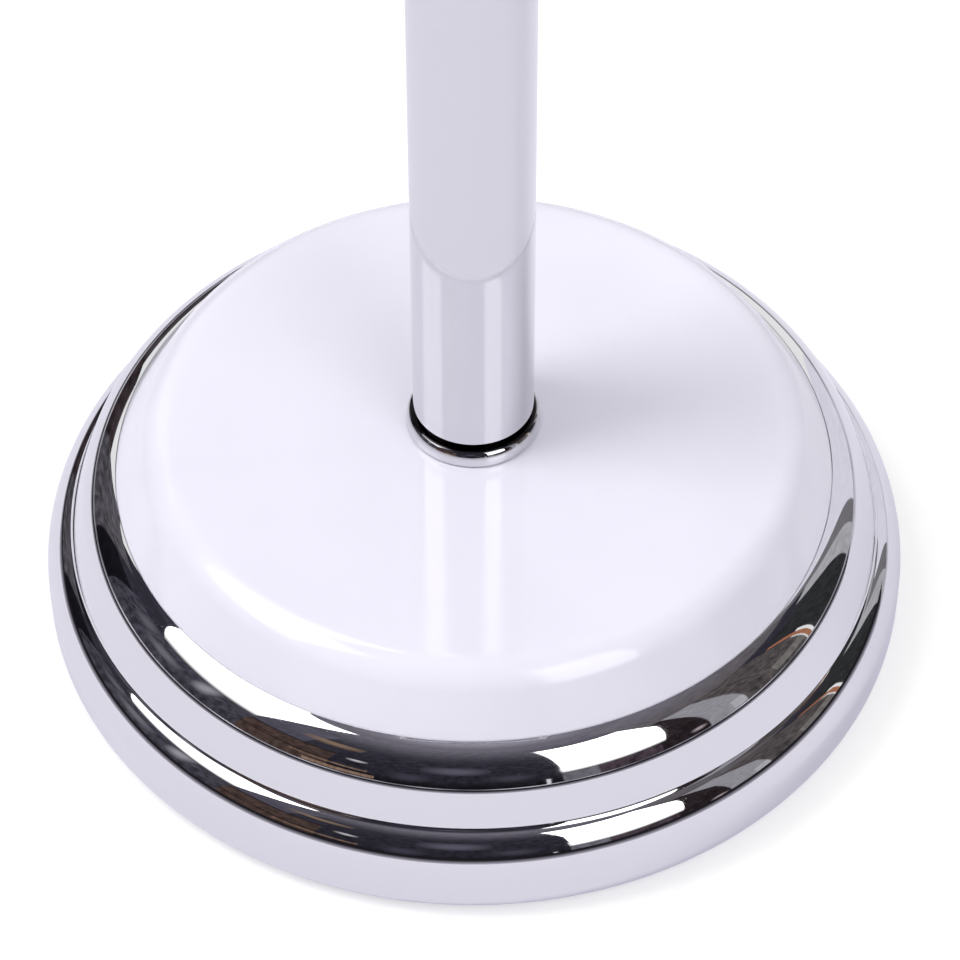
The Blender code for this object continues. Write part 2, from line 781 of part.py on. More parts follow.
def roller_inner_tube(axis, material):
    """The thin half, closed by a wall at its inner end, where a collar guides it."""
    floor = inner_tube_end + INNER_END_WALL
    profile = [
        (0, floor),
        (inner_bore, floor),
        (inner_bore, tube_half),
        (inner_radius, tube_half),
        (inner_radius, inner_tube_end + INNER_COLLAR_LENGTH),
        (inner_collar_radius, inner_tube_end + INNER_COLLAR_LENGTH),
        (inner_collar_radius, inner_tube_end),
        (0, inner_tube_end),
    ]
    obj = turned("roller_inner_tube", profile, material, ROLLER_STEPS, loop=False)
    obj.parent = axis
    return obj


def roller_cap(side, name, bore, boss_length, axis, material):
    """An end cap: pin, flange and a spigot in its tube. A boss on it holds the spring's end."""
    flange = ROLLER_RADIUS + CAP_PROUD
    spigot = bore - GAP
    spigot_end = -CAP_FLANGE - SPIGOT_LENGTH
    profile = [
        (0, PIN_LENGTH),
        (PIN_RADIUS - PIN_CHAMFER, PIN_LENGTH),
        (PIN_RADIUS, PIN_LENGTH - PIN_CHAMFER),
        (PIN_RADIUS, 0),
    ]
    profile += arc((flange - CAP_ROUND, -CAP_ROUND), CAP_ROUND, CAP_ROUND, 90, 0, CURVE_STEPS // 2)
    profile += [(flange, -CAP_FLANGE), (spigot, -CAP_FLANGE), (spigot, spigot_end)]
    if boss_length:
        # The coil's flats reach further in than its corners
        boss = COIL_RADIUS * cos(pi / COIL_STEPS) - WIRE_RADIUS - GAP
        profile += [(boss, spigot_end), (boss, spigot_end - boss_length)]
    profile.append((0, spigot_end - boss_length))
    obj = turned(f"roller_cap_{name}", profile, material, ROLLER_STEPS, loop=False)
    obj.parent = axis
    obj.location = (0, 0, side * roller_half)
    obj.rotation_euler = (0 if side > 0 else pi, 0, 0)
    return obj


def coil_points(start, end):
    """Points of the spring's helix, with its end turns closer together."""
    turns = round((end - start) / COIL_PITCH)
    steps = turns * COIL_STEPS
    pitches = []
    for step in range(steps):
        from_end = min(step, steps - 1 - step) / steps
        pitches.append(END_PITCH_SHARE if from_end < END_TURN_SHARE else 1)
    scale = (end - start) / sum(pitches)
    points = []
    height = start
    for step in range(steps + 1):
        turn = tau * step / COIL_STEPS
        points.append((COIL_RADIUS * cos(turn), COIL_RADIUS * sin(turn), height))
        if step < steps:
            height += pitches[step] * scale
    return points


def least_gap(points):
    """The least clear space between neighbouring turns of the spring."""
    pairs = zip(points, points[COIL_STEPS:])
    return min(dist(a, b) for a, b in pairs) - 2 * WIRE_RADIUS


def roller_spring(axis, material):
    """The coil spring between the left cap and the thin tube's end wall."""
    cap_face = CAP_FLANGE + SPIGOT_LENGTH - roller_half
    start = cap_face + GAP + WIRE_RADIUS
    end = inner_tube_end - GAP - WIRE_RADIUS
    points = coil_points(start, end)
    print(f"least gap between the spring's turns: {1000 * least_gap(points):.2f} mm")
    obj = tube_along("roller_spring", points, WIRE_RADIUS, 1, material)
    obj.parent = axis
    return obj


for old in list(bpy.data.objects):
    bpy.data.objects.remove(old, do_unlink=True)

parts = new_collection("toilet_paper_holder")
cutters = new_collection("cutters")
cutters.hide_render = True

bright = chrome()
white = white_enamel()
iron = cast_iron()
zinc = zinc_steel()
sprung = spring_steel()
rubber = foot_rubber()

base_ring(bright)
base_dome(white)
ballast_weight(iron)
bottom_plate(zinc)
for screw_number, screw_place in enumerate(screw_places(), 1):
    plate_screw(screw_number, screw_place, zinc)
foot_ring(rubber)
bolt_washer(zinc)
lock_washer(sprung)
tie_bolt(zinc)

pole_collar(bright)
plug("pole_foot_plug", pole_z + GAP, FOOT_PLUG_LENGTH, zinc)
pole_tube("pole_lower_tube", pole_z, pole_middle - GAP / 2, True, False, bright)
pole_joiner(zinc)
pole_tube("pole_upper_tube", pole_middle + GAP / 2, pole_top, False, True, bright)
plug("pole_head_plug", pole_top - HEAD_PLUG_LENGTH, HEAD_PLUG_LENGTH, zinc)

head_stud(zinc)
head_body(bright)
finial_ring(bright)
finial_dome(white)
for arm_side, arm_name in SIDES:
    arm(arm_side, arm_name, bright)
    arm_set_screw(arm_side, arm_name, zinc)
    arm_cup(arm_side, arm_name, bright)

spin_axis = roller_axis()
roller_outer_tube(spin_axis, bright)
roller_inner_tube(spin_axis, bright)
roller_cap(-1, "left", outer_bore, SPRING_BOSS_LENGTH, spin_axis, bright)
roller_cap(1, "right", inner_bore, 0, spin_axis, bright)
roller_spring(spin_axis, sprung)
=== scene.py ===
"""The looks of a freestanding toilet paper holder, in metres, +Z up and its front towards -Y."""

from math import atan2, cos, degrees, pi, radians, sin, tan, tau

import bmesh
import bpy
from mathutils import Matrix, Vector


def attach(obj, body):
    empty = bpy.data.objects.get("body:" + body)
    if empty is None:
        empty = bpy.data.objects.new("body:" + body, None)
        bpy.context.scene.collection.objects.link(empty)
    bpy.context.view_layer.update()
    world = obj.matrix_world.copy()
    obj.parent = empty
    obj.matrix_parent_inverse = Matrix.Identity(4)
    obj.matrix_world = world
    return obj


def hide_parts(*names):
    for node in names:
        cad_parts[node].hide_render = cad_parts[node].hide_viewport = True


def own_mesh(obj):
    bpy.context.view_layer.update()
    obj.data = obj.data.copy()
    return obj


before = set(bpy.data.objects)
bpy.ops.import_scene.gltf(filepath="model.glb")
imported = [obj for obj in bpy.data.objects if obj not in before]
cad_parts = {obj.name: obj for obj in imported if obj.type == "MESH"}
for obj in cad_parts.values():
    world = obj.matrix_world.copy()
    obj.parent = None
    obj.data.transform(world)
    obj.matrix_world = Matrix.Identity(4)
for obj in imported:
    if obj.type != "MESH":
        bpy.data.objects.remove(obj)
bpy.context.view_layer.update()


# Ballast weight
# A disc of grey cast iron with a boss under the cap, cast in green sand and left raw.
# It fills most of the base, so that the holder doesn't tip when paper is pulled off.
IRON = "#46464a"
IRON_DARK = "#2c2a29"
IRON_GRAIN = 0.0009  # between the sand's grains in the skin
IRON_PATCH = 0.0110  # of darker skin
IRON_METALLIC = 0.7
IRON_ROUGHNESS = (0.55, 0.8)
IRON_BUMP = 0.0003


def linear(colour):
    """An sRGB hex colour as linear light, with full alpha."""
    channels = [int(colour[start : start + 2], 16) / 255 for start in (1, 3, 5)]
    return [c / 12.92 if c <= 0.04045 else ((c + 0.055) / 1.055) ** 2.4 for c in channels] + [1]


def node(tree, kind, inputs, **settings):
    """A node with its settings. Each input gets a value or another node's output."""
    added = tree.nodes.new("ShaderNode" + kind)
    for name, value in settings.items():
        setattr(added, name, value)
    for name, value in inputs.items():
        if isinstance(value, bpy.types.NodeSocket):
            tree.links.new(value, added.inputs[name])
        else:
            added.inputs[name].default_value = value
    return added


def new_material(name):
    """An empty node material, with the coordinates of the object that wears it."""
    material = bpy.data.materials.new(name)
    material.use_nodes = True
    tree = material.node_tree
    tree.nodes.clear()
    return material, tree, node(tree, "TexCoord", {}).outputs["Object"]


def grain(tree, place, size, detail=2.0):
    """The value of a noise whose bumps are about that many metres apart."""
    noise = node(tree, "TexNoise", {"Vector": place, "Scale": 1 / size, "Detail": detail})
    return noise.outputs["Fac"]


def between(tree, value, low, high, start=0.3, end=0.7):
    """The value, stretched to run from low to high."""
    inputs = {"Value": value, "From Min": start, "From Max": end, "To Min": low, "To Max": high}
    return node(tree, "MapRange", inputs).outputs["Result"]


def blended(tree, factor, first, second):
    """A colour that goes from the first to the second as the factor goes from 0 to 1."""
    colours = {0: factor, 6: linear(first), 7: linear(second)}
    return node(tree, "Mix", colours, data_type="RGBA").outputs[2]


def surface(material, inputs, height=None, depth=0.0):
    """Gives the material its shader, with the height as bumps that many metres deep."""
    tree = material.node_tree
    if height:
        bump = node(tree, "Bump", {"Height": height, "Distance": depth})
        inputs["Normal"] = bump.outputs["Normal"]
    shader = node(tree, "BsdfPrincipled", inputs)
    node(tree, "OutputMaterial", {"Surface": shader.outputs["BSDF"]})
    return material


def raw_cast_iron():
    """Raw grey iron: dark, rough and grainy, with patches of darker sand skin."""
    material, tree, place = new_material("raw_cast_iron")
    skin = grain(tree, place, IRON_GRAIN, 4.0)
    patches = between(tree, grain(tree, place, IRON_PATCH), 0, 1)
    inputs = {
        "Base Color": blended(tree, patches, IRON, IRON_DARK),
        "Metallic": IRON_METALLIC,
        "Roughness": between(tree, skin, *IRON_ROUGHNESS),
    }
    return surface(material, inputs, skin, IRON_BUMP)


def dress(name, material):
    """A CAD node keeps its shape and gets the material in its slots."""
    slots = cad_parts[name].material_slots
    for slot in slots:
        slot.material = material


dress("ballast_weight", raw_cast_iron())


# Bottom plate, its screws and the bolt's washer
# A blanked steel plate closes the underside, held up to the weight by three pan-head screws.
# They are zinc plated, as are the washer, the bolt and the threaded inserts inside the pole.
PLATE_RADIUS = 0.0831
PLATE_OPENING = 0.0128
PLATE_BOTTOM = 0.0035
PLATE_TOP = 0.0050
PLATE_HOLE = 0.0019
SCREW_CIRCLE = 0.0668
SCREW_TURNS = (30, 150, 270)  # degrees round the plate from +X
SCREW_RADIUS = 0.0016
SCREW_HEAD = 0.0032
SCREW_HEAD_TOP = 0.0032  # where the head meets the plate
SCREW_HEAD_HEIGHT = 0.0014
SCREW_TIP = 0.0112
CROSS_LENGTH = 0.0034  # of the cross in a screw's head
CROSS_WIDTH = 0.0008
CROSS_DEPTH = 0.0009
CROSS_TURN = 20  # degrees, from one screw's cross to the next one's
WASHER = (0.0043, 0.0110, 0.0130, 0.0146)  # inner and outer radius, bottom and top
EDGE_BREAK = 0.0002  # on a stamped edge
ZINC = "#a9acb0"
ZINC_DARK = "#94969c"
ZINC_CRYSTAL = 0.0022  # across a patch of the plating
ZINC_GRAIN = 0.0005
ZINC_BUMP = 0.00001
ZINC_ROUGHNESS = (0.3, 0.42)
CRYSTAL_FADE = (0.1, 0.8)  # from a crystal's middle, as a share of its width
SHARP = radians(32)
WELD = 0.000001
FINE_TURN = 192  # facets round a piece
SMALL_TURN = 64


def zinc_plate():
    """Dull zinc: a grey metal with faint crystal patches and soft, uneven gloss."""
    material, tree, place = new_material("dull_zinc_plate")
    crystals = node(tree, "TexVoronoi", {"Vector": place, "Scale": 1 / ZINC_CRYSTAL})
    patch = between(tree, crystals.outputs["Distance"], 0, 1, *CRYSTAL_FADE)
    fine = grain(tree, place, ZINC_GRAIN)
    inputs = {
        "Base Color": blended(tree, patch, ZINC, ZINC_DARK),
        "Metallic": 1.0,
        "Roughness": between(tree, patch, *ZINC_ROUGHNESS, 0, 1),
    }
    return surface(material, inputs, fine, ZINC_BUMP)


def piece_from(name, shape):
    """The shape as an object of the scene, smooth between its sharp edges."""
    mesh = bpy.data.meshes.new(name)
    shape.to_mesh(mesh)
    shape.free()
    mesh.shade_smooth()
    mesh.set_sharp_from_angle(angle=SHARP)
    obj = bpy.data.objects.new(name, mesh)
    bpy.context.scene.collection.objects.link(obj)
    return obj


def turned(name, outline, facets, place=None):
    """The outline of (radius, height) points, closed and turned round Z, then moved by place."""
    shape = bmesh.new()
    points = [shape.verts.new((radius, 0, height)) for radius, height in outline]
    lines = [shape.edges.new(ends) for ends in zip(points, points[1:] + points[:1])]
    bmesh.ops.spin(
        shape,
        geom=points + lines,
        cent=(0, 0, 0),
        axis=(0, 0, 1),
        angle=tau,
        steps=facets,
        use_merge=True,
    )
    bmesh.ops.remove_doubles(shape, verts=shape.verts, dist=WELD)
    bmesh.ops.recalc_face_normals(shape, faces=shape.faces)
    if place:
        bmesh.ops.transform(shape, matrix=place, verts=shape.verts)
    return piece_from(name, shape)


def box(size, middle, turn=0):
    """A block that only cuts other pieces."""
    shape = bmesh.new()
    place = Matrix.Translation(middle) @ Matrix.Rotation(turn, 4, "Z") @ Matrix.Diagonal((*size, 1))
    bmesh.ops.create_cube(shape, size=1, matrix=place)
    return piece_from("block", shape)


def rod(radius, start, end):
    """A bar from one point to another that only cuts other pieces. The radius is to its corners."""
    start, end = Vector(start), Vector(end)
    turn = (end - start).to_track_quat("Z", "Y").to_matrix().to_4x4()
    shape = bmesh.new()
    bmesh.ops.create_cone(
        shape,
        cap_ends=True,
        segments=SMALL_TURN,
        radius1=radius,
        radius2=radius,
        depth=(end - start).length,
        matrix=Matrix.Translation((start + end) / 2) @ turn,
    )
    return piece_from("rod", shape)


def cut(piece, cutter):
    """The piece loses what the cutter covers of it, and the cutter goes."""
    boolean = piece.modifiers.new("cut", "BOOLEAN")
    boolean.operation = "DIFFERENCE"
    boolean.object = cutter
    bpy.context.view_layer.update()
    graph = bpy.context.evaluated_depsgraph_get()
    mesh = bpy.data.meshes.new_from_object(piece.evaluated_get(graph), depsgraph=graph)
    piece.modifiers.clear()
    piece.data = mesh
    mesh.shade_smooth()
    mesh.set_sharp_from_angle(angle=SHARP)
    bpy.data.objects.remove(cutter)


def fit(piece, material, body="stand"):
    """The piece stands for the CAD node that bears its name without the word fine."""
    piece.data.materials.clear()
    piece.data.materials.append(material)
    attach(piece, body)
    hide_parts(piece.name.removeprefix("fine_"))


def band(inner, outer, bottom, top):
    """The outline of a flat ring with its four edges broken."""
    return [
        (inner + EDGE_BREAK, bottom),
        (outer - EDGE_BREAK, bottom),
        (outer, bottom + EDGE_BREAK),
        (outer, top - EDGE_BREAK),
        (outer - EDGE_BREAK, top),
        (inner + EDGE_BREAK, top),
        (inner, top - EDGE_BREAK),
        (inner, bottom + EDGE_BREAK),
    ]


def arc(centre, reach, rise, start, end, steps):
    """Points on an elliptical arc round the centre, between two angles in degrees from +r."""
    angles = [radians(start + (end - start) * step / steps) for step in range(steps + 1)]
    return [(centre[0] + reach * cos(a), centre[1] + rise * sin(a)) for a in angles]


zinc = zinc_plate()
plate = turned(
    "fine_bottom_plate",
    band(PLATE_OPENING, PLATE_RADIUS, PLATE_BOTTOM, PLATE_TOP),
    FINE_TURN,
)
for number, degrees_round in enumerate(SCREW_TURNS, 1):
    middle = Vector((SCREW_CIRCLE, 0, 0))
    middle.rotate(Matrix.Rotation(radians(degrees_round), 3, "Z"))
    up = Vector((0, 0, 1))
    cut(plate, rod(PLATE_HOLE, middle, middle + up * SCREW_TIP))
    head = arc((0, SCREW_HEAD_TOP), SCREW_HEAD, SCREW_HEAD_HEIGHT, -90, 0, 12)
    shank = [
        (SCREW_RADIUS, SCREW_HEAD_TOP),
        (SCREW_RADIUS, SCREW_TIP - EDGE_BREAK),
        (SCREW_RADIUS - EDGE_BREAK, SCREW_TIP),
        (0, SCREW_TIP),
    ]
    screw = turned(
        f"fine_plate_screw_{number}", head + shank, SMALL_TURN, Matrix.Translation(middle)
    )
    head_face = middle + up * (SCREW_HEAD_TOP - SCREW_HEAD_HEIGHT)
    for turn in (0, pi / 2):
        size = (CROSS_LENGTH, CROSS_WIDTH, 2 * CROSS_DEPTH)
        cut(screw, box(size, head_face, turn + radians(CROSS_TURN * number)))
    fit(screw, zinc)
fit(plate, zinc)
washer = turned("fine_bolt_washer", band(*WASHER), SMALL_TURN)
fit(washer, zinc)
for name in ("pole_foot_plug", "pole_joiner", "pole_head_plug", "head_stud"):
    dress(name, zinc)


# Foot ring
# A moulded ring of black rubber, bonded to the plate, that the holder stands on.
# Two shallow grooves round its underside grip the floor.
FOOT_INNER = 0.0716
FOOT_OUTER = 0.0816
FOOT_TOP = 0.0032
FOOT_CHAMFER = 0.0006
FOOT_GROOVES = (0.0750, 0.0782)  # radius of each groove's middle
FOOT_GROOVE_HALF = 0.0005
FOOT_GROOVE_DEPTH = 0.0006
RUBBER = "#1b1b1d"
RUBBER_DUSTY = "#2a2a2c"
RUBBER_GRAIN = 0.0004
RUBBER_PATCH = 0.0080
RUBBER_BUMP = 0.00004
RUBBER_ROUGHNESS = (0.65, 0.85)


def black_rubber():
    """Moulded rubber: nearly black, matt, with a fine grain and a little dust."""
    material, tree, place = new_material("moulded_black_rubber")
    dust = between(tree, grain(tree, place, RUBBER_PATCH), 0, 1)
    fine = grain(tree, place, RUBBER_GRAIN)
    inputs = {
        "Base Color": blended(tree, dust, RUBBER, RUBBER_DUSTY),
        "Roughness": between(tree, fine, *RUBBER_ROUGHNESS),
    }
    return surface(material, inputs, fine, RUBBER_BUMP)


foot_outline = [(FOOT_INNER, FOOT_TOP), (FOOT_INNER, FOOT_CHAMFER), (FOOT_INNER + FOOT_CHAMFER, 0)]
for groove in FOOT_GROOVES:
    foot_outline.append((groove - FOOT_GROOVE_HALF, 0))
    foot_outline.append((groove, FOOT_GROOVE_DEPTH))
    foot_outline.append((groove + FOOT_GROOVE_HALF, 0))
foot_outline += [(FOOT_OUTER - FOOT_CHAMFER, 0), (FOOT_OUTER, FOOT_CHAMFER), (FOOT_OUTER, FOOT_TOP)]
fit(turned("fine_foot_ring", foot_outline, FINE_TURN), black_rubber())


# Tie bolt and its split washer
# A cold-headed hexagon bolt clamps weight, skirt, cap, bead and pole together from below.
# The split washer under its head is bent from spring steel and oiled, not plated.
BOLT_RADIUS = 0.0040
BOLT_TOP = 0.0735
BOLT_HEAD_BOTTOM = 0.0053
BOLT_HEAD_TOP = 0.0106
BOLT_HEAD_ACROSS = 0.0130
BOLT_HEAD_CHAMFER = 0.0008
LOCK_WASHER = (0.0043, 0.0070, 0.0109, 0.0127)  # inner and outer radius, bottom and top
LOCK_SLIT = 0.0012
SPRING_STEEL = "#77787c"
SPRING_STEEL_DARK = "#5a5858"
SPRING_PATCH = 0.0030
SPRING_BUMP = 0.00001
SPRING_ROUGHNESS = (0.22, 0.38)


def oiled_spring_steel():
    """Drawn spring wire: a darker steel, half glossy with oil, with darker patches."""
    material, tree, place = new_material("oiled_spring_steel")
    patches = grain(tree, place, SPRING_PATCH, 4.0)
    inputs = {
        "Base Color": blended(tree, between(tree, patches, 0, 1), SPRING_STEEL, SPRING_STEEL_DARK),
        "Metallic": 1.0,
        "Roughness": between(tree, patches, *SPRING_ROUGHNESS),
    }
    return surface(material, inputs, patches, SPRING_BUMP)


spring_steel = oiled_spring_steel()
split_washer = turned("fine_lock_washer", band(*LOCK_WASHER), SMALL_TURN)
slit_middle = (LOCK_WASHER[1] / 2, 0, sum(LOCK_WASHER[2:]) / 2)
cut(split_washer, box((LOCK_WASHER[1], LOCK_SLIT, LOCK_WASHER[3]), slit_middle))
fit(split_washer, spring_steel)

head_radius = BOLT_HEAD_ACROSS / 2 / cos(pi / 6)
chamfered = [
    (0, BOLT_HEAD_BOTTOM),
    (head_radius - 2 * BOLT_HEAD_CHAMFER, BOLT_HEAD_BOTTOM),
    (head_radius, BOLT_HEAD_BOTTOM + BOLT_HEAD_CHAMFER),
    (head_radius, BOLT_HEAD_TOP),
    (BOLT_RADIUS, BOLT_HEAD_TOP),
    (BOLT_RADIUS, BOLT_TOP - EDGE_BREAK),
    (BOLT_RADIUS - EDGE_BREAK, BOLT_TOP),
    (0, BOLT_TOP),
]
bolt = turned("fine_tie_bolt", chamfered, SMALL_TURN)
for side in range(6):
    flat = Matrix.Rotation(tau * side / 6, 3, "Z") @ Vector((BOLT_HEAD_ACROSS, 0, 0))
    size = (BOLT_HEAD_ACROSS, 2 * BOLT_HEAD_ACROSS, 4 * BOLT_HEAD_TOP)
    cut(bolt, box(size, flat, tau * side / 6))
fit(bolt, zinc)


# Chrome skirt
# Spun or pressed from one steel sheet in two rounded steps, with a rebate for the white cap on
# top and a rim turned in underneath, then nickel and chrome plated and polished all round.
BASE_TURN = 256
BASE_RADIUS = 0.0910
SKIRT_FLOOR = 0.0012
SKIRT_WALL = 0.0012
SKIRT_HEIGHT = 0.0364  # from its rim up to the cap's edge
RIM_ROUND = 0.0056
UPPER_TIER = (0.01161, 0.01288)  # semi-axes of the upper step's ellipse
UPPER_TIER_ENDS = (74.5, 23)  # degrees round its ellipse
SKIRT_BENDS = (  # radius, hollow where it is negative, and the degrees up that it faces at its end
    (0.0900, 16),
    (-0.00156, 64.5),
    (0.0064, 46),
    (0.0111, 0),
)
REBATE_DEPTH = 0.0024
LEDGE_WIDTH = 0.0120
RIM_LIP = 0.0020
HOLD = 0.0003  # from a curve's end to the line that keeps the flat beside it flat
CHROME = "#dfdfe1"
POLISH_WAVE = 0.0140  # between the faint waves of the polishing wheel
POLISH_WAVE_DEPTH = 0.000006
SMUDGE = 0.0120
SMUDGE_ROUGHNESS = (0.012, 0.05)
DUST = 0.0011  # between specks, drawn coarser than real dust so that they show
SPECK_EDGE = (0.03, 0.08)  # as a share of the space between specks
SPECK_ROUGHNESS = 0.2


def polish(tree, place, colour):
    """A mirror's inputs: smudges and specks of dust roughen it. Also its faint waves."""
    smudges = between(tree, grain(tree, place, SMUDGE, 5.0), *SMUDGE_ROUGHNESS)
    cells = node(tree, "TexVoronoi", {"Vector": place, "Scale": 1 / DUST, "Randomness": 1.0})
    speck = between(tree, cells.outputs["Distance"], SPECK_ROUGHNESS, 0, *SPECK_EDGE)
    rough = node(tree, "Math", {0: smudges, 1: speck}, operation="ADD").outputs[0]
    inputs = {"Base Color": colour, "Metallic": 1.0, "Roughness": rough}
    return inputs, grain(tree, place, POLISH_WAVE, 1.0)


def polished_chrome(name, colour):
    """Bright chrome over nickel: a nearly neutral mirror with faint waves, smudges and dust."""
    material, tree, place = new_material(name)
    return surface(material, *polish(tree, place, linear(colour)), POLISH_WAVE_DEPTH)


def stepped(radius, floor, share):
    """The steps from the white cap's edge down to the rim's lip."""
    points = arc((0, 0), *UPPER_TIER, *UPPER_TIER_ENDS, 40)
    end = radians(UPPER_TIER_ENDS[1])
    facing = degrees(atan2(sin(end) * UPPER_TIER[0], cos(end) * UPPER_TIER[1]))
    for curve, next_facing in SKIRT_BENDS:
        turn = radians(facing)
        centre = (points[-1][0] - curve * cos(turn), points[-1][1] - curve * sin(turn))
        points += arc(centre, curve, curve, facing, next_facing, 24)[1:]
        facing = next_facing
    out = radius / share - points[-1][0]
    up = floor / share + SKIRT_HEIGHT - points[0][1]
    points = [(r + out, z + up) for r, z in points]
    rim_z = floor / share + RIM_ROUND
    points += [(points[-1][0], points[-1][1] - HOLD), (points[-1][0], rim_z + HOLD)]
    points += arc((points[-1][0] - RIM_ROUND, rim_z), RIM_ROUND, RIM_ROUND, 0, -90, 30)
    return [(r * share, z * share) for r, z in points]


def inset(outline, wall):
    """The same outline, that far inside the surface."""
    moved = []
    for number, (r, z) in enumerate(outline):
        before, after = outline[max(number - 1, 0)], outline[min(number + 1, len(outline) - 1)]
        along = Vector((after[0] - before[0], after[1] - before[1])).normalized()
        moved.append((r + along.y * wall, z - along.x * wall))
    return moved


chrome = polished_chrome("polished_chrome_plate", CHROME)
skirt_outer = stepped(BASE_RADIUS, SKIRT_FLOOR, 1)
rebate_radius, rebate_top = skirt_outer[0]
ledge_z = rebate_top - REBATE_DEPTH
ledge_bottom = ledge_z - SKIRT_WALL
skirt_inner = [point for point in inset(skirt_outer, SKIRT_WALL) if point[1] < ledge_bottom]
lip_radius = skirt_outer[-1][0] - RIM_LIP
skirt = [(lip_radius, SKIRT_FLOOR + SKIRT_WALL)] + skirt_inner[::-1]
skirt += [
    (skirt_inner[0][0], ledge_bottom),
    (rebate_radius - LEDGE_WIDTH, ledge_bottom),
    (rebate_radius - LEDGE_WIDTH, ledge_z),
    (rebate_radius, ledge_z),
]
skirt += skirt_outer + [(lip_radius, SKIRT_FLOOR)]
fit(turned("fine_base_ring", skirt, BASE_TURN), chrome)


# White cap
# A cap of pressed steel, fired with gloss white enamel, that drops into the skirt's rebate and is
# clamped under the pole. It is flat on top, with a rounded shoulder and a straight flank.
CAP_HOLE = 0.0043
CAP_RADIUS = 0.0749
CAP_TOP = 0.0502
CAP_WALL = 0.0025
GAP = 0.0003  # between pieces that touch
CAP_DROP = 0.0125  # from its top down to the chrome
SHOULDER_ROUND = 0.0085
FLANK_LEAN = 31.5  # degrees in from upright
ENAMEL = "#edebf8"
ENAMEL_DIM = "#e9e7f4"
ENAMEL_PATCH = 0.0300
ENAMEL_ROUGHNESS = (0.08, 0.1)
ENAMEL_IOR = 1.5
ORANGE_PEEL = 0.0045  # between the slow waves that the enamel sets in
ORANGE_PEEL_DEPTH = 0.000004


def white_enamel():
    """Fired enamel: a cool white under a wet gloss, with slow waves that soften reflections."""
    material, tree, place = new_material("gloss_white_enamel")
    tone = between(tree, grain(tree, place, ENAMEL_PATCH), 0, 1)
    peel = grain(tree, place, ORANGE_PEEL, 1.0)
    inputs = {
        "Base Color": blended(tree, tone, ENAMEL, ENAMEL_DIM),
        "Roughness": between(tree, tone, *ENAMEL_ROUGHNESS),
        "IOR": ENAMEL_IOR,
    }
    return surface(material, inputs, peel, ORANGE_PEEL_DEPTH)


def shoulder(radius, top, share, wall, steps):
    """The cap's shoulder and flank, from the end of its flat top to its edge, that far inside."""
    lean = radians(FLANK_LEAN)
    curve, drop, hold = (size * share for size in (SHOULDER_ROUND, CAP_DROP, HOLD))
    reach = (curve + (drop - curve) * sin(lean)) / cos(lean)
    points = arc((radius - reach, top - curve), curve - wall, curve - wall, 90, FLANK_LEAN, steps)
    edge = (radius - wall, top - drop - wall * tan(lean / 2))
    down = (hold * sin(lean), -hold * cos(lean))
    near_curve = (points[-1][0] + down[0], points[-1][1] + down[1])
    near_edge = (edge[0] - down[0], edge[1] - down[1])
    return points + [near_curve, near_edge, edge]


enamel = white_enamel()
cap_outer = shoulder(CAP_RADIUS, CAP_TOP, 1, 0, 48)
cap_inner = shoulder(CAP_RADIUS, CAP_TOP, 1, CAP_WALL, 16)
flat_end = cap_outer[0][0] - HOLD
cap = [(CAP_HOLE, CAP_TOP), (CAP_RADIUS / 3, CAP_TOP), (flat_end, CAP_TOP)] + cap_outer
cap += [(CAP_RADIUS, ledge_z + GAP), (CAP_RADIUS - CAP_WALL, ledge_z + GAP)]
cap += cap_inner[::-1] + [(CAP_HOLE, CAP_TOP - CAP_WALL)]
fit(turned("fine_base_dome", cap, BASE_TURN), enamel)


# Pole
# Two lengths of polished chrome tube with rounded ends, joined by a sleeve inside, so that the
# holder ships flat. A small turned chrome bead stands between the cap and the pole.
POLE_TURN = 160
POLE_RADIUS = 0.0125
POLE_BORE = 0.0113
POLE_ROUND = 0.0008
POLE_BOTTOM = 0.0552
POLE_MIDDLE = 0.2977
POLE_TOP = 0.5402
SEAM_ROUND = 0.0002
TUBE_CHROME = "#dbdadd"  # a shade darker than the chrome of the turned pieces
BEAD_RADIUS = 0.0139
BEAD_CURVE = (0.0014, 0.0023)
BEAD_FOOT = 0.0012
BEAD_BOTTOM = 0.0505
BEAD_LAND = (0.0117, 0.0044)  # radius and height of the land that the pole stands on
CREVICE_SHADE_FADE = (0.0129, 0.0134)  # where the painted shade fades to bright chrome, round the pole's foot
# Painted shade: the colour of the bead's chrome in the crevice under the pole.
CREVICE_PAINTED_SHADE = "#262224"


def bead_chrome():
    """The same bright chrome, painted dark as shade in the crevice under the pole."""
    material, tree, place = new_material("polished_chrome_bead")
    level = node(tree, "VectorMath", {0: place, 1: (1, 1, 0)}, operation="MULTIPLY").outputs[0]
    reach = node(tree, "VectorMath", {0: level}, operation="LENGTH").outputs["Value"]
    # Painted shade: dark close to the pole's foot, fading to bright chrome farther out.
    colour = blended(tree, between(tree, reach, 0, 1, *CREVICE_SHADE_FADE), CREVICE_PAINTED_SHADE, CHROME)
    return surface(material, *polish(tree, place, colour), POLISH_WAVE_DEPTH)


def bead(floor):
    """The side of a bead, from its foot up to its level crest."""
    centre = (BEAD_RADIUS - BEAD_CURVE[0], floor + BEAD_FOOT)
    foot = [(BEAD_RADIUS - EDGE_BREAK, floor), (BEAD_RADIUS, floor + EDGE_BREAK)]
    foot.append((BEAD_RADIUS, centre[1] - HOLD))
    return foot + arc(centre, *BEAD_CURVE, 0, 90, 24)


def tube(bore, radius, bottom, top, bottom_round, top_round):
    """The outline of a tube whose outer ends are rounded."""
    low_middle = (radius - bottom_round, bottom + bottom_round)
    high_middle = (radius - top_round, top - top_round)
    points = [(bore, top), (bore, bottom)]
    points += arc(low_middle, bottom_round, bottom_round, -90, 0, 8)
    points += [(radius, low_middle[1] + HOLD), (radius, high_middle[1] - HOLD)]
    points += arc(high_middle, top_round, top_round, 0, 90, 8)
    return points


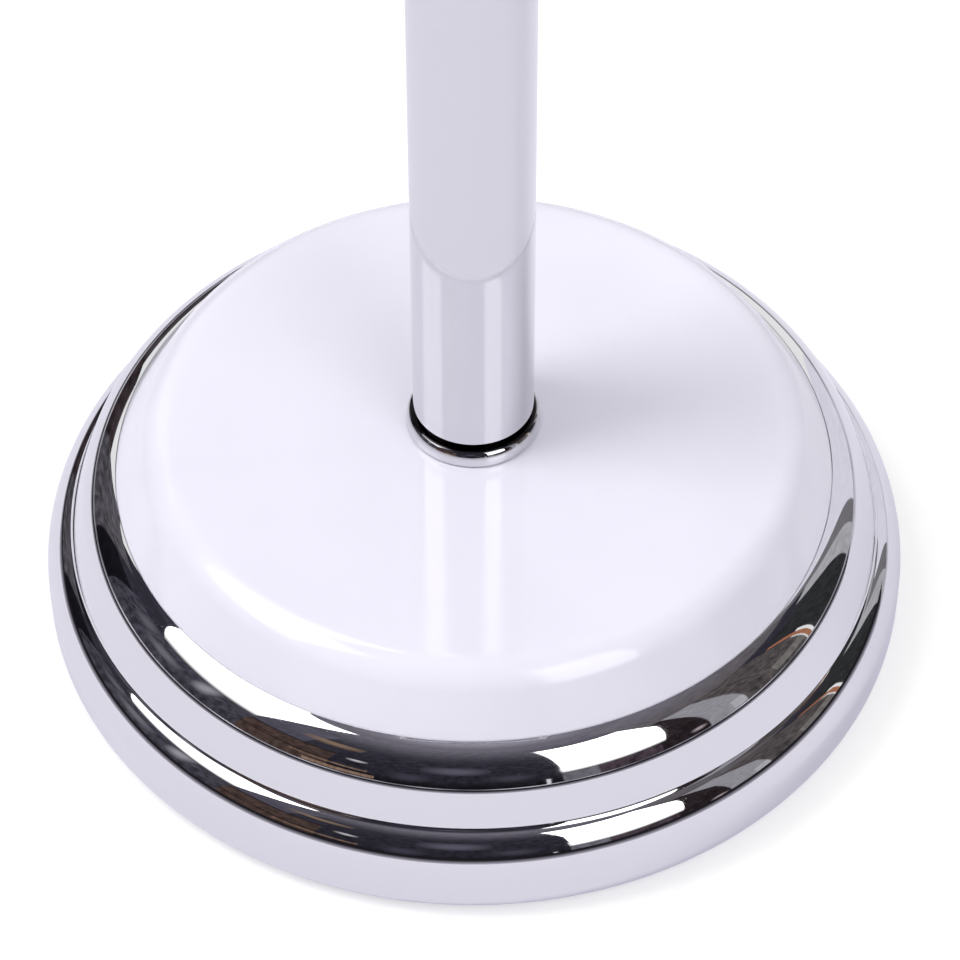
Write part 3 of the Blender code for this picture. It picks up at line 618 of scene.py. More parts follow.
crest = BEAD_BOTTOM + BEAD_FOOT + BEAD_CURVE[1]
land = BEAD_BOTTOM + BEAD_LAND[1]
collar = [(CAP_HOLE, land), (CAP_HOLE, BEAD_BOTTOM)] + bead(BEAD_BOTTOM)
collar += [(BEAD_LAND[0], crest), (BEAD_LAND[0], land)]
fit(turned("fine_pole_collar", collar, POLE_TURN), bead_chrome())
lower = tube(POLE_BORE, POLE_RADIUS, POLE_BOTTOM, POLE_MIDDLE - GAP / 2, POLE_ROUND, SEAM_ROUND)
upper = tube(POLE_BORE, POLE_RADIUS, POLE_MIDDLE + GAP / 2, POLE_TOP, SEAM_ROUND, POLE_ROUND)
tube_chrome = polished_chrome("polished_chrome_tube", TUBE_CHROME)
for name, outline in (("lower", lower), ("upper", upper)):
    fit(turned(f"fine_pole_{name}_tube", outline, POLE_TURN), tube_chrome)


# Head
# Turned from brass bar and chrome plated: a bead like the one at the pole's foot, and a swell
# that both arms plug into. A stud screws it to the pole.
HEAD_BOTTOM = 0.5405
HEAD_TOP = 0.5765
NECK_RADIUS = 0.0120
SWELL_BOTTOM = 0.5470
SWELL = (0.0045, 0.0135)
AXIS_Z = 0.5605  # of the arms and the roller
STUD_HOLE = (0.0043, 0.0120)
PEG_HOLE = (0.0053, 0.0063)
ARM_HOLE = 0.0063
SET_SCREW_HOLE = 0.0023
SET_SCREW_X = 0.0080
HEAD_REACH = 0.0180  # past the swell

head_curve = [(NECK_RADIUS, HEAD_BOTTOM + BEAD_FOOT + BEAD_CURVE[1]), (NECK_RADIUS, SWELL_BOTTOM)]
head_curve += arc((NECK_RADIUS, AXIS_Z), *SWELL, -90, 90, 64)[1:]
head = [(0, HEAD_BOTTOM + STUD_HOLE[1]), (STUD_HOLE[0], HEAD_BOTTOM + STUD_HOLE[1])]
head += [(STUD_HOLE[0], HEAD_BOTTOM)] + bead(HEAD_BOTTOM) + head_curve
head += [
    (NECK_RADIUS, HEAD_TOP - EDGE_BREAK),
    (NECK_RADIUS - EDGE_BREAK, HEAD_TOP),
    (PEG_HOLE[0], HEAD_TOP),
    (PEG_HOLE[0], HEAD_TOP - PEG_HOLE[1]),
    (0, HEAD_TOP - PEG_HOLE[1]),
]
head = turned("fine_head_body", head, FINE_TURN)
cut(head, rod(ARM_HOLE, (-HEAD_REACH, 0, AXIS_Z), (HEAD_REACH, 0, AXIS_Z)))
for x in (-SET_SCREW_X, SET_SCREW_X):
    cut(head, rod(SET_SCREW_HOLE, (x, 0, AXIS_Z), (x, HEAD_REACH, AXIS_Z)))
fit(head, chrome)


# Finial
# The base's steps and white cap again, at a fifth of their size: a turned chrome ring with a peg
# that presses into the head, and an enamelled button pressed into the ring.
FINIAL_SHARE = 0.2
FINIAL_GAP = 0.0003
FINIAL_PEG = (0.0050, 0.0060)
BUTTON_PEG = (0.0025, 0.0030)

finial_floor = HEAD_TOP + FINIAL_GAP
finial_outer = stepped(BASE_RADIUS * FINIAL_SHARE, finial_floor, FINIAL_SHARE)
edge_radius, edge_z = finial_outer[0]
seat_z = edge_z - REBATE_DEPTH * FINIAL_SHARE
button_hole = BUTTON_PEG[0] + GAP
finial = [
    (0, seat_z - BUTTON_PEG[1] - GAP),
    (button_hole, seat_z - BUTTON_PEG[1] - GAP),
    (button_hole, seat_z),
    (edge_radius, seat_z),
]
finial += finial_outer + [
    (FINIAL_PEG[0], finial_floor),
    (FINIAL_PEG[0], finial_floor - FINIAL_PEG[1] + EDGE_BREAK),
    (FINIAL_PEG[0] - EDGE_BREAK, finial_floor - FINIAL_PEG[1]),
    (0, finial_floor - FINIAL_PEG[1]),
]
fit(turned("fine_finial_ring", finial, FINE_TURN), chrome)
button_radius = edge_radius - GAP
button_top = edge_z + CAP_DROP * FINIAL_SHARE
button = [(0, button_top)] + shoulder(button_radius, button_top, FINIAL_SHARE, 0, 32)
button += [
    (button_radius, seat_z + GAP),
    (BUTTON_PEG[0], seat_z + GAP),
    (BUTTON_PEG[0], seat_z + GAP - BUTTON_PEG[1]),
    (0, seat_z + GAP - BUTTON_PEG[1]),
]
fit(turned("fine_finial_dome", button, FINE_TURN), enamel)


# Arms
# Two chromed steel bars, each bent once: out of the head to its side, then forward to its cup.
# A grub screw from the back of the head locks each one.
ARM_SIDES = 64
ARM_RADIUS = 0.0060
ARM_START = 0.0003
ARM_BEND = 0.0220
ARM_X = 0.0810
ARM_END_Y = -0.0698


def grow(shape, lines, way):
    """The open end moves on by way, drawing a wall behind it."""
    grown = bmesh.ops.extrude_edge_only(shape, edges=lines)["geom"]
    ends = [part for part in grown if isinstance(part, bmesh.types.BMVert)]
    bmesh.ops.translate(shape, vec=way, verts=ends)
    return [part for part in grown if isinstance(part, bmesh.types.BMEdge)]


def arm(name, side):
    """A bar with a quarter bend, as an open tube that is closed at both ends."""
    shape = bmesh.new()
    start = Matrix.Translation((side * ARM_START, 0, AXIS_Z)) @ Matrix.Rotation(pi / 2, 4, "Y")
    bmesh.ops.create_circle(shape, segments=ARM_SIDES, radius=ARM_RADIUS, matrix=start)
    lines = shape.edges[:]
    bend_x = ARM_X - ARM_BEND
    for length in (HOLD, bend_x - ARM_START - 2 * HOLD, HOLD):
        lines = grow(shape, lines, (side * length, 0, 0))
    bent = bmesh.ops.spin(
        shape,
        geom=lines,
        cent=(side * bend_x, -ARM_BEND, AXIS_Z),
        axis=(0, 0, -side),
        angle=pi / 2,
        steps=48,
    )
    lines = [part for part in bent["geom_last"] if isinstance(part, bmesh.types.BMEdge)]
    for length in (HOLD, -ARM_END_Y - ARM_BEND - 2 * HOLD, HOLD):
        lines = grow(shape, lines, (0, -length, 0))
    bmesh.ops.remove_doubles(shape, verts=shape.verts, dist=WELD)
    bmesh.ops.holes_fill(shape, edges=shape.edges, sides=0)
    bmesh.ops.recalc_face_normals(shape, faces=shape.faces)
    return piece_from(name, shape)


for side, name in ((-1, "left"), (1, "right")):
    fit(arm(f"fine_arm_{name}", side), chrome)
    dress(f"arm_set_screw_{name}", zinc)


# Cups
# Turned brass ends, chrome plated, domed outside, with a blind seat in the inner face for the
# roller's pin. The arm's end fits a hole in the back.
CUP_FACE = 0.0725
CUP_LENGTH = 0.0170
CUP_RADIUS = 0.0105
CUP_DOME = 0.0055
CUP_LIP = 0.0008
SEAT = (0.0035, 0.0075)
AXIS_Y = -0.0750
CUP_HOLE_Y = -0.0701  # the arm hole's blind end

for side, name in ((-1, "left"), (1, "right")):
    cup = [(0, SEAT[1]), SEAT, (SEAT[0], EDGE_BREAK), (SEAT[0] + EDGE_BREAK, 0)]
    cup += arc((CUP_RADIUS - CUP_LIP, CUP_LIP), CUP_LIP, CUP_LIP, -90, 0, 10)
    dome_z = CUP_LENGTH - CUP_DOME
    cup += [(CUP_RADIUS, CUP_LIP + HOLD), (CUP_RADIUS, dome_z - HOLD)]
    cup += arc((0, dome_z), CUP_RADIUS, CUP_DOME, 0, 90, 48)
    middle = Matrix.Translation((side * CUP_FACE, AXIS_Y, AXIS_Z))
    cup = turned(
        f"fine_arm_cup_{name}", cup, FINE_TURN, middle @ Matrix.Rotation(side * pi / 2, 4, "Y")
    )
    cut(cup, rod(ARM_HOLE, (side * ARM_X, CUP_HOLE_Y, AXIS_Z), (side * ARM_X, 0, AXIS_Z)))
    fit(cup, chrome)


# Roller
# Two thin chromed tubes, one sliding in the other, with turned chrome caps whose pins sit in the
# cups. The thick tube's open end is rolled in to keep the thin one.
ROLLER_TURN = 128
OUTER_TUBE = (-0.0689, 0.0083)
OUTER_RADIUS = 0.0120
OUTER_BORE = 0.0112
OUTER_LIP = (0.0107, 0.0012)
OUTER_ROUND = 0.0005
INNER_TUBE = (-0.0257, 0.0689)
INNER_RADIUS = 0.0104
INNER_BORE = 0.0096
INNER_COLLAR = (0.0109, 0.0020)
INNER_FLOOR = 0.0012
CAP_FLANGE = (0.0126, 0.0030)
CAP_ROUND = 0.0010
CAP_FACE = 0.0722
SPIGOT_END = 0.0090
SPRING_BOSS = (0.0064, 0.0120)
PIN = (0.0032, 0.0068)
PIN_CHAMFER = 0.0008

along_x = Matrix.Translation((0, AXIS_Y, AXIS_Z)) @ Matrix.Rotation(pi / 2, 4, "Y")
start, end = OUTER_TUBE
outer_tube = [
    (OUTER_BORE, start),
    (OUTER_RADIUS - EDGE_BREAK, start),
    (OUTER_RADIUS, start + EDGE_BREAK),
    (OUTER_RADIUS, end - OUTER_ROUND - HOLD),
]
round_middle = (OUTER_RADIUS - OUTER_ROUND, end - OUTER_ROUND)
outer_tube += arc(round_middle, OUTER_ROUND, OUTER_ROUND, 0, 90, 10)
outer_tube += [
    (OUTER_LIP[0] + EDGE_BREAK, end),
    (OUTER_LIP[0], end - EDGE_BREAK),
    (OUTER_LIP[0], end - OUTER_LIP[1]),
    (OUTER_BORE, end - OUTER_LIP[1]),
]
outer_tube = turned("fine_roller_outer_tube", outer_tube, ROLLER_TURN, along_x)
fit(outer_tube, chrome, "roller_thick_half")

start, end = INNER_TUBE
inner_tube = [
    (0, start),
    (INNER_COLLAR[0], start),
    (INNER_COLLAR[0], start + INNER_COLLAR[1]),
    (INNER_RADIUS, start + INNER_COLLAR[1]),
    (INNER_RADIUS, start + INNER_COLLAR[1] + HOLD),
    (INNER_RADIUS, end - EDGE_BREAK),
    (INNER_RADIUS - EDGE_BREAK, end),
    (INNER_BORE, end),
    (INNER_BORE, start + INNER_FLOOR),
    (0, start + INNER_FLOOR),
]
inner_tube = turned("fine_roller_inner_tube", inner_tube, ROLLER_TURN, along_x)
fit(inner_tube, chrome, "roller_thin_half")

for side, name, spigot, body in (
    (-1, "left", OUTER_BORE - GAP, "roller_thick_half"),
    (1, "right", INNER_BORE - GAP, "roller_thin_half"),
):
    radius, flange = CAP_FLANGE
    pin_radius, pin_length = PIN
    end_cap = [(0, pin_length), (pin_radius - PIN_CHAMFER, pin_length)]
    end_cap += [(pin_radius, pin_length - PIN_CHAMFER), (pin_radius, 0)]
    end_cap += arc((radius - CAP_ROUND, -CAP_ROUND), CAP_ROUND, CAP_ROUND, 90, 0, 12)
    end_cap += [(radius, EDGE_BREAK - flange), (radius - EDGE_BREAK, -flange)]
    end_cap += [(spigot, -flange), (spigot, -SPIGOT_END)]
    if side < 0:
        end_cap += [(SPRING_BOSS[0], -SPIGOT_END), (SPRING_BOSS[0], -SPRING_BOSS[1])]
    end_cap.append((0, end_cap[-1][1]))
    place = Matrix.Translation((side * CAP_FACE, AXIS_Y, AXIS_Z))
    end_cap = turned(
        f"fine_roller_cap_{name}",
        end_cap,
        ROLLER_TURN,
        place @ Matrix.Rotation(side * pi / 2, 4, "Y"),
    )
    fit(end_cap, chrome, body)


# Roller spring
# Nine turns of spring wire, wound open with its end turns close together, between the left cap
# and the thin tube's end wall. It shortens as the roller is pressed in.
WIRE_RADIUS = 0.0005
COIL_RADIUS = 0.0078
SPRING_ENDS = (-0.0624, -0.0265)  # of the wire's middle
OPEN_TURNS = 7
END_PITCH_SHARE = 0.45
COIL_STEPS = 40

coil = bmesh.new()
wire_start = Vector((SPRING_ENDS[0], AXIS_Y, AXIS_Z + COIL_RADIUS))
bmesh.ops.create_circle(
    coil,
    segments=12,
    radius=WIRE_RADIUS,
    matrix=Matrix.Translation(wire_start) @ Matrix.Rotation(pi / 2, 4, "X"),
)
lines = coil.edges[:]
pitch = (SPRING_ENDS[1] - SPRING_ENDS[0]) / (OPEN_TURNS + 2 * END_PITCH_SHARE)
close_pitch = pitch * END_PITCH_SHARE
for turns, step_pitch in ((1, close_pitch), (OPEN_TURNS, pitch), (1, close_pitch)):
    wound = bmesh.ops.spin(
        coil,
        geom=lines,
        cent=(0, AXIS_Y, AXIS_Z),
        dvec=(step_pitch / COIL_STEPS, 0, 0),
        axis=(1, 0, 0),
        angle=tau * turns,
        steps=COIL_STEPS * turns,
    )
    lines = [part for part in wound["geom_last"] if isinstance(part, bmesh.types.BMEdge)]
bmesh.ops.remove_doubles(coil, verts=coil.verts, dist=WELD)
bmesh.ops.holes_fill(coil, edges=coil.edges, sides=0)
bmesh.ops.recalc_face_normals(coil, faces=coil.faces)
spring = piece_from("fine_roller_spring", coil)
fit(spring, spring_steel, "roller_thick_half")
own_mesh(spring)


# Floor and surround
# A plain white floor, whose colour takes the light and the object's shadow. The camera sees it
# brighter, so that it reads as white with no more light on the object, and mirrors see it turn
# to grey streaks past the table's edge, as a room does.
FLOOR_SIZE = 12.0
FLOOR = "#dcdcdc"
FLOOR_LIFT = (0.42, 0.85)  # for the camera, near the object and far from it
FLOOR_NEAR_FAR = (0.5, 2.5)
MIRROR_LIFT = 0.228  # for the chrome
MIRROR_TINT = "#d3c5ff"
TABLE_END = (0.32, 0.55)  # where it starts to fade in the mirrors, and where only the room is left
ROOM = "#2b2930"
ROOM_SHARE = (0.1, 0.95)  # in a streak of table and in a streak of room
ROOM_STREAK = 0.30  # across a streak, as a share of its distance
AMBIENT = (0.25, 0.61)  # light from the sides and from above
AMBIENT_FULL = 37  # degrees up from where it is full


def rays(tree):
    """1 for the camera's rays, and 1 for rays in a mirror or glass. Both are 0 for light."""
    path = node(tree, "LightPath", {}).outputs
    either = {0: path["Is Glossy Ray"], 1: path["Is Transmission Ray"]}
    mirror = node(tree, "Math", either, operation="MAXIMUM")
    return path["Is Camera Ray"], mirror.outputs[0]


def summed(tree, first, second):
    """The sum of two shaders."""
    return node(tree, "AddShader", {0: first.outputs[0], 1: second.outputs[0]})


floor_material, tree, place = new_material("white_studio_floor")
camera_ray, mirror_ray = rays(tree)
distance = node(tree, "VectorMath", {0: place}, operation="LENGTH").outputs["Value"]
outward = node(tree, "VectorMath", {0: place}, operation="NORMALIZE").outputs[0]
streaks = between(tree, grain(tree, outward, ROOM_STREAK, 3.0), *ROOM_SHARE)
beyond = between(tree, distance, 0, mirror_ray, *TABLE_END)
room = node(tree, "Math", {0: streaks, 1: beyond}, operation="MULTIPLY").outputs[0]
matt = node(tree, "BsdfDiffuse", {"Color": blended(tree, room, FLOOR, ROOM)})
lift = between(tree, distance, *FLOOR_LIFT, *FLOOR_NEAR_FAR)
camera_lift = node(tree, "Math", {0: lift, 1: camera_ray}, operation="MULTIPLY").outputs[0]
camera_glow = node(tree, "Emission", {"Strength": camera_lift})
mirror_lift = between(tree, mirror_ray, 0, MIRROR_LIFT, 0, 1)
mirror_colour = blended(tree, room, MIRROR_TINT, ROOM)
mirror_glow = node(tree, "Emission", {"Color": mirror_colour, "Strength": mirror_lift})
floor_shader = summed(tree, summed(tree, matt, camera_glow), mirror_glow)
node(tree, "OutputMaterial", {"Surface": floor_shader.outputs[0]})
floor = bmesh.new()
bmesh.ops.create_grid(floor, x_segments=1, y_segments=1, size=FLOOR_SIZE / 2)
floor = piece_from("studio_floor", floor)
floor.data.materials.append(floor_material)

world = bpy.data.worlds.new("white_studio")
world.use_nodes = True
tree = world.node_tree
tree.nodes.clear()
any_look = node(tree, "Math", dict(enumerate(rays(tree))), operation="MAXIMUM").outputs[0]
sky = node(tree, "TexCoord", {}).outputs["Object"]
sky_height = node(tree, "SeparateXYZ", {"Vector": sky}).outputs["Z"]
sky_light = between(tree, sky_height, *AMBIENT, 0, sin(radians(AMBIENT_FULL)))
strength = node(tree, "Math", {0: any_look, 1: sky_light}, operation="MAXIMUM").outputs[0]
white = node(tree, "Background", {"Color": linear("#ffffff"), "Strength": strength})
node(tree, "OutputWorld", {"Surface": white.outputs[0]})
bpy.context.scene.world = world


# Lamps
# Two softboxes, a large one high on the left and a smaller one lower on the right.
LAMP_DISTANCE = 4.5
LAMPS = (  # name, degrees to the right of the camera, degrees up, width, height, watts
    ("left_softbox", -83, 55, 1.75, 2.7, 95),
    ("right_softbox", 36, 50, 2.2, 2.6, 52),
)


def way(turn, up):
    """The direction that many degrees to the right of the camera's side and up."""
    turn, up = radians(turn), radians(up)
    return Vector((sin(turn) * cos(up), -cos(turn) * cos(up), sin(up)))


for name, turn, up, width, height, watts in LAMPS:
    light = bpy.data.lights.new(name, "AREA")
    light.shape = "RECTANGLE"
    light.size = width
    light.size_y = height
    light.energy = watts
    lamp = bpy.data.objects.new(name, light)
    lamp.matrix_world = Matrix.Translation(way(turn, up) * LAMP_DISTANCE) @ (
        way(turn, up).to_track_quat("Z", "Y").to_matrix().to_4x4()
    )
    lamp.visible_camera = False
    lamp.visible_glossy = False
    bpy.context.scene.collection.objects.link(lamp)


# Studio round the table, as the chrome mirrors it
# Boards on a dome round the table that only mirrors see. They give the chrome its dark bands,
# its brown and grey patches and the bright shapes of the softboxes, and add no light.
BOARD_DISTANCE = 6.0
BOARD_SPACE = 0.01  # from one board to the next, which stands in front of it
BOARD_STEP = 4  # degrees
BOARD_GAIN = 1.35  # chrome mirrors about three quarters of what it sees
STREAK_WIDTH = 0.16
STREAK_LENGTH = 3.0
BOARDS = (  # name, from and to in degrees round and in degrees up, colours, contrast of streaks
    ("ceiling", (-180, 180), (74, 90), "#66636c", "#928f9b", 0.1),
    ("back_wall", (150, 230), (46, 74), "#9c9aa4", "#a19ea9", 0.05),
    ("front_high_wall", (-130, 122), (44, 74), "#2e2c35", "#6b6872", 0.2),
    ("front_low_wall", (-130, 122), (24, 44), "#2f2d36", "#2f2d36", 0.3),
    ("left_end_wall", (-165, -150), (-2, 14), "#332c2f", "#4a464a", 0.4),
    ("left_brown_door", (-150, -138), (-2, 24), "#2e2528", "#3a3336", 0.5),
    ("left_far_wall", (-138, -120), (-2, 40), "#48464b", "#545257", 0.6),
    ("left_black_flag", (-120, -108), (-2, 30), "#131217", "#17161b", 0.3),
    ("left_wall", (-108, -60), (-2, 34), "#3a3840", "#403e47", 0.6),
    ("left_lavender", (-62, -45), (30, 58), "#4a4853", "#55535e", 0.25),
    ("brown_cupboard", (-60, -36), (-2, 29), "#433632", "#433632", 0.45),
    ("shelf_edge", (-60, -36), (29, 30.5), "#221c20", "#221c20", 0.1),
    ("low_shelf_edge", (-60, -36), (15.3, 16.5), "#221c20", "#221c20", 0.1),
    ("front_dark", (-36, 21), (-2, 12), "#131216", "#24232a", 0.45),
    ("front_middle", (-36, 21), (12, 44.5), "#26252d", "#2d2b34", 0.45),
    ("low_tan_strip", (-42, -24), (1.5, 6.5), "#80695a", "#80695a", 0.4),
    ("high_tan_strip", (-46, -26), (10.5, 13), "#6e5a4d", "#6e5a4d", 0.4),
    ("thin_light", (17, 18), (-2, 9), "#c9c7cc", "#c9c7cc", 0.1),
    ("right_grey_shelf", (21, 30), (-2, 17), "#64626a", "#64626a", 0.3),
    ("right_shelf", (30, 46), (-2, 18), "#3e343b", "#463c43", 0.5),
    ("right_high_wall", (54, 122), (50, 72), "#5a5659", "#6b6872", 0.2),
    ("right_dark_post", (46, 59), (-2, 50), "#241e21", "#2c2528", 0.5),
    ("right_grey_wall", (59, 70), (-2, 50), "#8b898f", "#8b898f", 0.15),
    ("right_pale_post", (66, 70), (2, 15), "#a5a3a8", "#a5a3a8", 0.1),
    ("right_dark_shelf", (70, 91), (-2, 50), "#4b4646", "#4b4646", 0.5),
    ("right_shelf_light", (80, 91), (5, 15), "#6a6765", "#6a6765", 0.3),
    ("orange_edge", (91.4, 93), (-2, 40), "#96644b", "#96644b", 0.1),
    ("right_flag", (94, 113), (-2, 42), "#2b2c2d", "#2b2c2d", 0.3),
    ("right_light_stripe", (113, 120), (-2, 44), "#a0a0a3", "#a0a0a3", 0.15),
    ("right_grey_post", (120, 125), (-2, 60), "#6d6b6e", "#6d6b6e", 0.1),
    ("right_backdrop", (125, 150), (-2, 74), "#cfcdd8", "#cfcdd8", 0.05),
)
BLURS = (  # name, degrees round, degrees up, half its width and height in degrees, colour
    ("window", -5, 30, 9, 9, "#55535f"),
    ("left_lamp", -73, 22, 3.5, 14, "#8f8d95"),
    ("shelf_lamp", -30, 25, 3, 3, "#b5b1b4"),
    ("tan_wall", -41, 42, 9, 6, "#7a6757"),
    ("chair", -16, 14, 6, 9, "#3a3944"),
    ("screen", 9, 17, 7, 8, "#3c3b45"),
    ("pink_light", 56, 7, 2.5, 3.5, "#a2969a"),
    ("picture", -86, 16, 7, 8, "#68666e"),
    ("door_light", -97, 24, 4, 9, "#5a585f"),
)
BLUR_FADE = (0.25, 0.95)  # from its middle, as a share of its half width and height


def only_mirrors_see(board):
    """The board adds no light and no shadow, and the camera looks through it."""
    board.visible_camera = False
    board.visible_diffuse = False
    board.visible_transmission = False
    board.visible_volume_scatter = False
    board.visible_shadow = False


def dome_patch(name, turns, ups, distance, edge=None):
    """Part of a dome round the origin, between degrees round and degrees up.

    An edge through two directions cuts it straight, and the side with its middle stays.
    """
    shape = bmesh.new()
    steps = max(1, round((ups[1] - ups[0]) / BOARD_STEP))
    line = arc((0, 0), distance, distance, *ups, steps)
    points = [shape.verts.new((0, -radius, height)) for radius, height in line]
    lines = [shape.edges.new(ends) for ends in zip(points, points[1:])]
    bmesh.ops.rotate(shape, verts=points, matrix=Matrix.Rotation(radians(turns[0]), 3, "Z"))
    bmesh.ops.spin(
        shape,
        geom=points + lines,
        cent=(0, 0, 0),
        axis=(0, 0, 1),
        angle=radians(turns[1] - turns[0]),
        steps=max(1, round((turns[1] - turns[0]) / BOARD_STEP)),
    )
    if edge:
        outward = way(*edge[0]).cross(way(*edge[1]))
        if outward.dot(way(sum(turns) / 2, sum(ups) / 2)) > 0:
            outward.negate()
        everything = shape.verts[:] + shape.edges[:] + shape.faces[:]
        bmesh.ops.bisect_plane(shape, geom=everything, plane_no=outward, clear_outer=True)
    return piece_from(name, shape)


def board_material(name, ups, distance, low, high, contrast):
    """Upright streaks, as blurred furniture makes, about a colour that changes with the height."""
    material, tree, place = new_material(name)
    stretch = (1 / STREAK_WIDTH, 1 / STREAK_WIDTH, 1 / STREAK_LENGTH)
    mapping = node(tree, "Mapping", {"Vector": place, "Scale": stretch})
    streaks = node(tree, "TexNoise", {"Vector": mapping.outputs[0], "Scale": 1.0, "Detail": 3.0})
    weakest, strongest = BOARD_GAIN * (1 - contrast), BOARD_GAIN * (1 + contrast)
    gain = between(tree, streaks.outputs["Fac"], weakest, strongest)
    height = node(tree, "SeparateXYZ", {"Vector": place}).outputs["Z"]
    bottom, top = (distance * sin(radians(up)) for up in ups)
    rise = between(tree, height, 0, 1, bottom, top)
    slow_rise = node(tree, "Math", {0: rise, 1: rise}, operation="MULTIPLY").outputs[0]
    colour = blended(tree, slow_rise, low, high)
    light = node(tree, "Emission", {"Color": colour, "Strength": gain})
    node(tree, "OutputMaterial", {"Surface": light.outputs[0]})
    return material


def blur_material(name, turn, up, half_width, half_height, colour):
    """A light patch without an edge: it fades out towards the sides of its piece of the dome."""
    material, tree, place = new_material(name)
    size = (1 / BOARD_DISTANCE,) * 3
    inward = {"Vector": place, "Rotation": (0, 0, -radians(turn)), "Scale": size}
    split = node(tree, "SeparateXYZ", {"Vector": node(tree, "Mapping", inward).outputs[0]}).outputs
    wide, middle = sin(radians(half_width)), sin(radians(up))
    tall = sin(radians(up + half_height)) - middle
    across = node(tree, "Math", {0: split["X"], 1: 1 / wide}, operation="MULTIPLY")
    height = node(tree, "Math", {0: split["Z"], 1: middle}, operation="SUBTRACT").outputs[0]
    upright = node(tree, "Math", {0: height, 1: 1 / tall}, operation="MULTIPLY")
    offset = node(tree, "CombineXYZ", {"X": across.outputs[0], "Y": upright.outputs[0]})
    far = node(tree, "VectorMath", {0: offset.outputs[0]}, operation="LENGTH").outputs["Value"]
    fade = between(tree, far, 1, 0, *BLUR_FADE)
    glow = node(tree, "Emission", {"Color": linear(colour), "Strength": BOARD_GAIN})
    clear = node(tree, "BsdfTransparent", {})
    mixed = node(tree, "MixShader", {0: fade, 1: clear.outputs[0], 2: glow.outputs[0]})
    node(tree, "OutputMaterial", {"Surface": mixed.outputs[0]})
    return material


for number, (name, turns, ups, low, high, contrast) in enumerate(BOARDS):
    name, distance = "board_" + name, BOARD_DISTANCE - BOARD_SPACE * number
    board = dome_patch(name, turns, ups, distance)
    board.data.materials.append(board_material(name, ups, distance, low, high, contrast))
    only_mirrors_see(board)

for number, (name, turn, up, half_width, half_height, colour) in enumerate(BLURS, len(BOARDS)):
    name, distance = "blur_" + name, BOARD_DISTANCE - BOARD_SPACE * number
    turns, ups = (turn - half_width, turn + half_width), (up - half_height, up + half_height)
    blur = dome_patch(name, turns, ups, distance)
    blur.data.materials.append(blur_material(name, turn, up, half_width, half_height, colour))
    only_mirrors_see(blur)


# Softboxes in the mirrors
# The cloth fronts of the two softboxes, bright, with soft lower edges. Both stand a little
# askew, so a slanting edge cuts a corner off each.
SOFTBOX_GAIN = (0.05, 3.2)  # at its lower edge and past its soft edge
SOFTBOX_DISTANCE = 5.5
SOFTBOXES = (  # name, degrees round, degrees up, the soft edge's end, ends of the slanting edge
    ("left", (-165, -61), (33, 72), 44, ((-90, 28), (-165, 61.5))),
    ("right", (21.5, 54), (15, 62), 22, ((54, 45), (48, 17))),
)

for name, turns, ups, soft_end, edge in SOFTBOXES:
    softbox = dome_patch(f"softbox_{name}", turns, ups, SOFTBOX_DISTANCE, edge)
    material, tree, place = new_material(f"softbox_cloth_{name}")
    height = node(tree, "SeparateXYZ", {"Vector": place}).outputs["Z"]
    low, high = (SOFTBOX_DISTANCE * sin(radians(up)) for up in (ups[0], soft_end))
    gain = between(tree, height, *SOFTBOX_GAIN, low, high)
    light = node(tree, "Emission", {"Color": linear("#ffffff"), "Strength": gain})
    node(tree, "OutputMaterial", {"Surface": light.outputs[0]})
    softbox.data.materials.append(material)
    only_mirrors_see(softbox)


# Low eave over the table's edge
# A thin sloping ring that rises inwards from the floor. Only the low chrome sees its dark
# underside, as the dark room beyond the table, and its foot is pale, so that the edge is soft.
EAVE_TURNS = (-165, 98)
EAVE_FOOT = 0.280
EAVE_SLOPE = 14  # degrees
EAVE_TOP = 0.0286
EAVE_SOFT = 0.024  # height up to which it darkens
EAVE_ROWS = 4
EAVE = "#1c1a1e"
EAVE_PALE = "#bcb8c6"

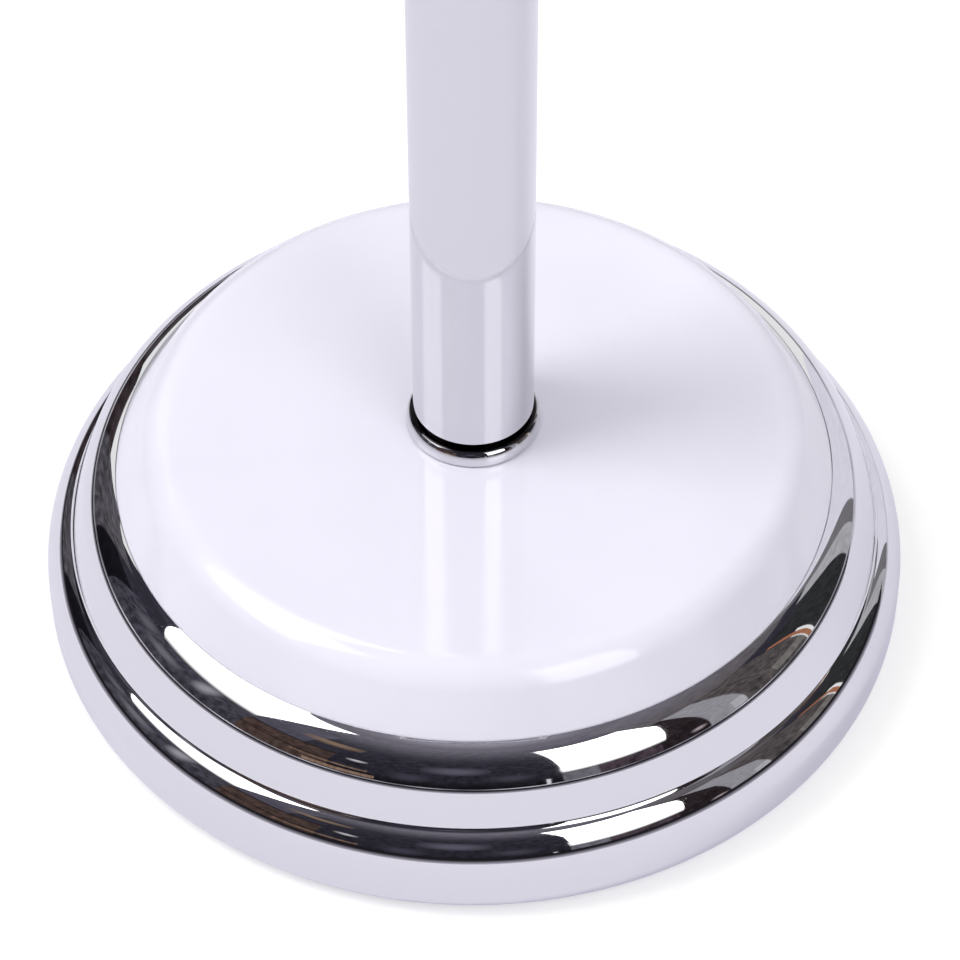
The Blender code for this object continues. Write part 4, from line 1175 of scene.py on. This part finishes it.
eave_material, tree, place = new_material("dark_eave")
height = node(tree, "SeparateXYZ", {"Vector": place}).outputs["Z"]
colour = blended(tree, between(tree, height, 0, 1, 0, EAVE_SOFT), EAVE_PALE, EAVE)
light = node(tree, "Emission", {"Color": colour, "Strength": BOARD_GAIN})
clear = node(tree, "BsdfTransparent", {})
underside = node(tree, "NewGeometry", {}).outputs["Backfacing"]
sides = node(tree, "MixShader", {0: underside, 1: clear.outputs[0], 2: light.outputs[0]})
node(tree, "OutputMaterial", {"Surface": sides.outputs[0]})
eave = bmesh.new()
heights = [EAVE_TOP * row / EAVE_ROWS for row in range(EAVE_ROWS + 1)]
points = [eave.verts.new((0, z / tan(radians(EAVE_SLOPE)) - EAVE_FOOT, z)) for z in heights]
lines = [eave.edges.new(ends) for ends in zip(points, points[1:])]
bmesh.ops.rotate(eave, verts=points, matrix=Matrix.Rotation(radians(EAVE_TURNS[0]), 3, "Z"))
bmesh.ops.spin(
    eave,
    geom=points + lines,
    cent=(0, 0, 0),
    axis=(0, 0, 1),
    angle=radians(EAVE_TURNS[1] - EAVE_TURNS[0]),
    steps=96,
)
eave.normal_update()
bmesh.ops.reverse_faces(eave, faces=[face for face in eave.faces if face.normal.z < 0])
eave = piece_from("eave", eave)
eave.data.materials.append(eave_material)
only_mirrors_see(eave)


# Camera
# A long lens close to the base, looking down at 48 degrees, as the photograph was taken.
LENS = 150.5
LOOK_AT = Vector((0.001281, 0, 0.03122))
LOOK_DOWN = 48.041
LOOK_DISTANCE = 0.84556
LOOK_ROLL = -0.1975

camera = bpy.data.objects.new("camera", bpy.data.cameras.new("camera"))
camera.data.lens = LENS
tilt = Matrix.Rotation(radians(90 - LOOK_DOWN), 4, "X")
roll = Matrix.Rotation(radians(LOOK_ROLL), 4, "Z")
stand = LOOK_AT + way(0, LOOK_DOWN) * LOOK_DISTANCE
camera.matrix_world = Matrix.Translation(stand) @ tilt @ roll
bpy.context.scene.collection.objects.link(camera)
bpy.context.scene.camera = camera
bpy.context.scene.view_settings.view_transform = "Standard"
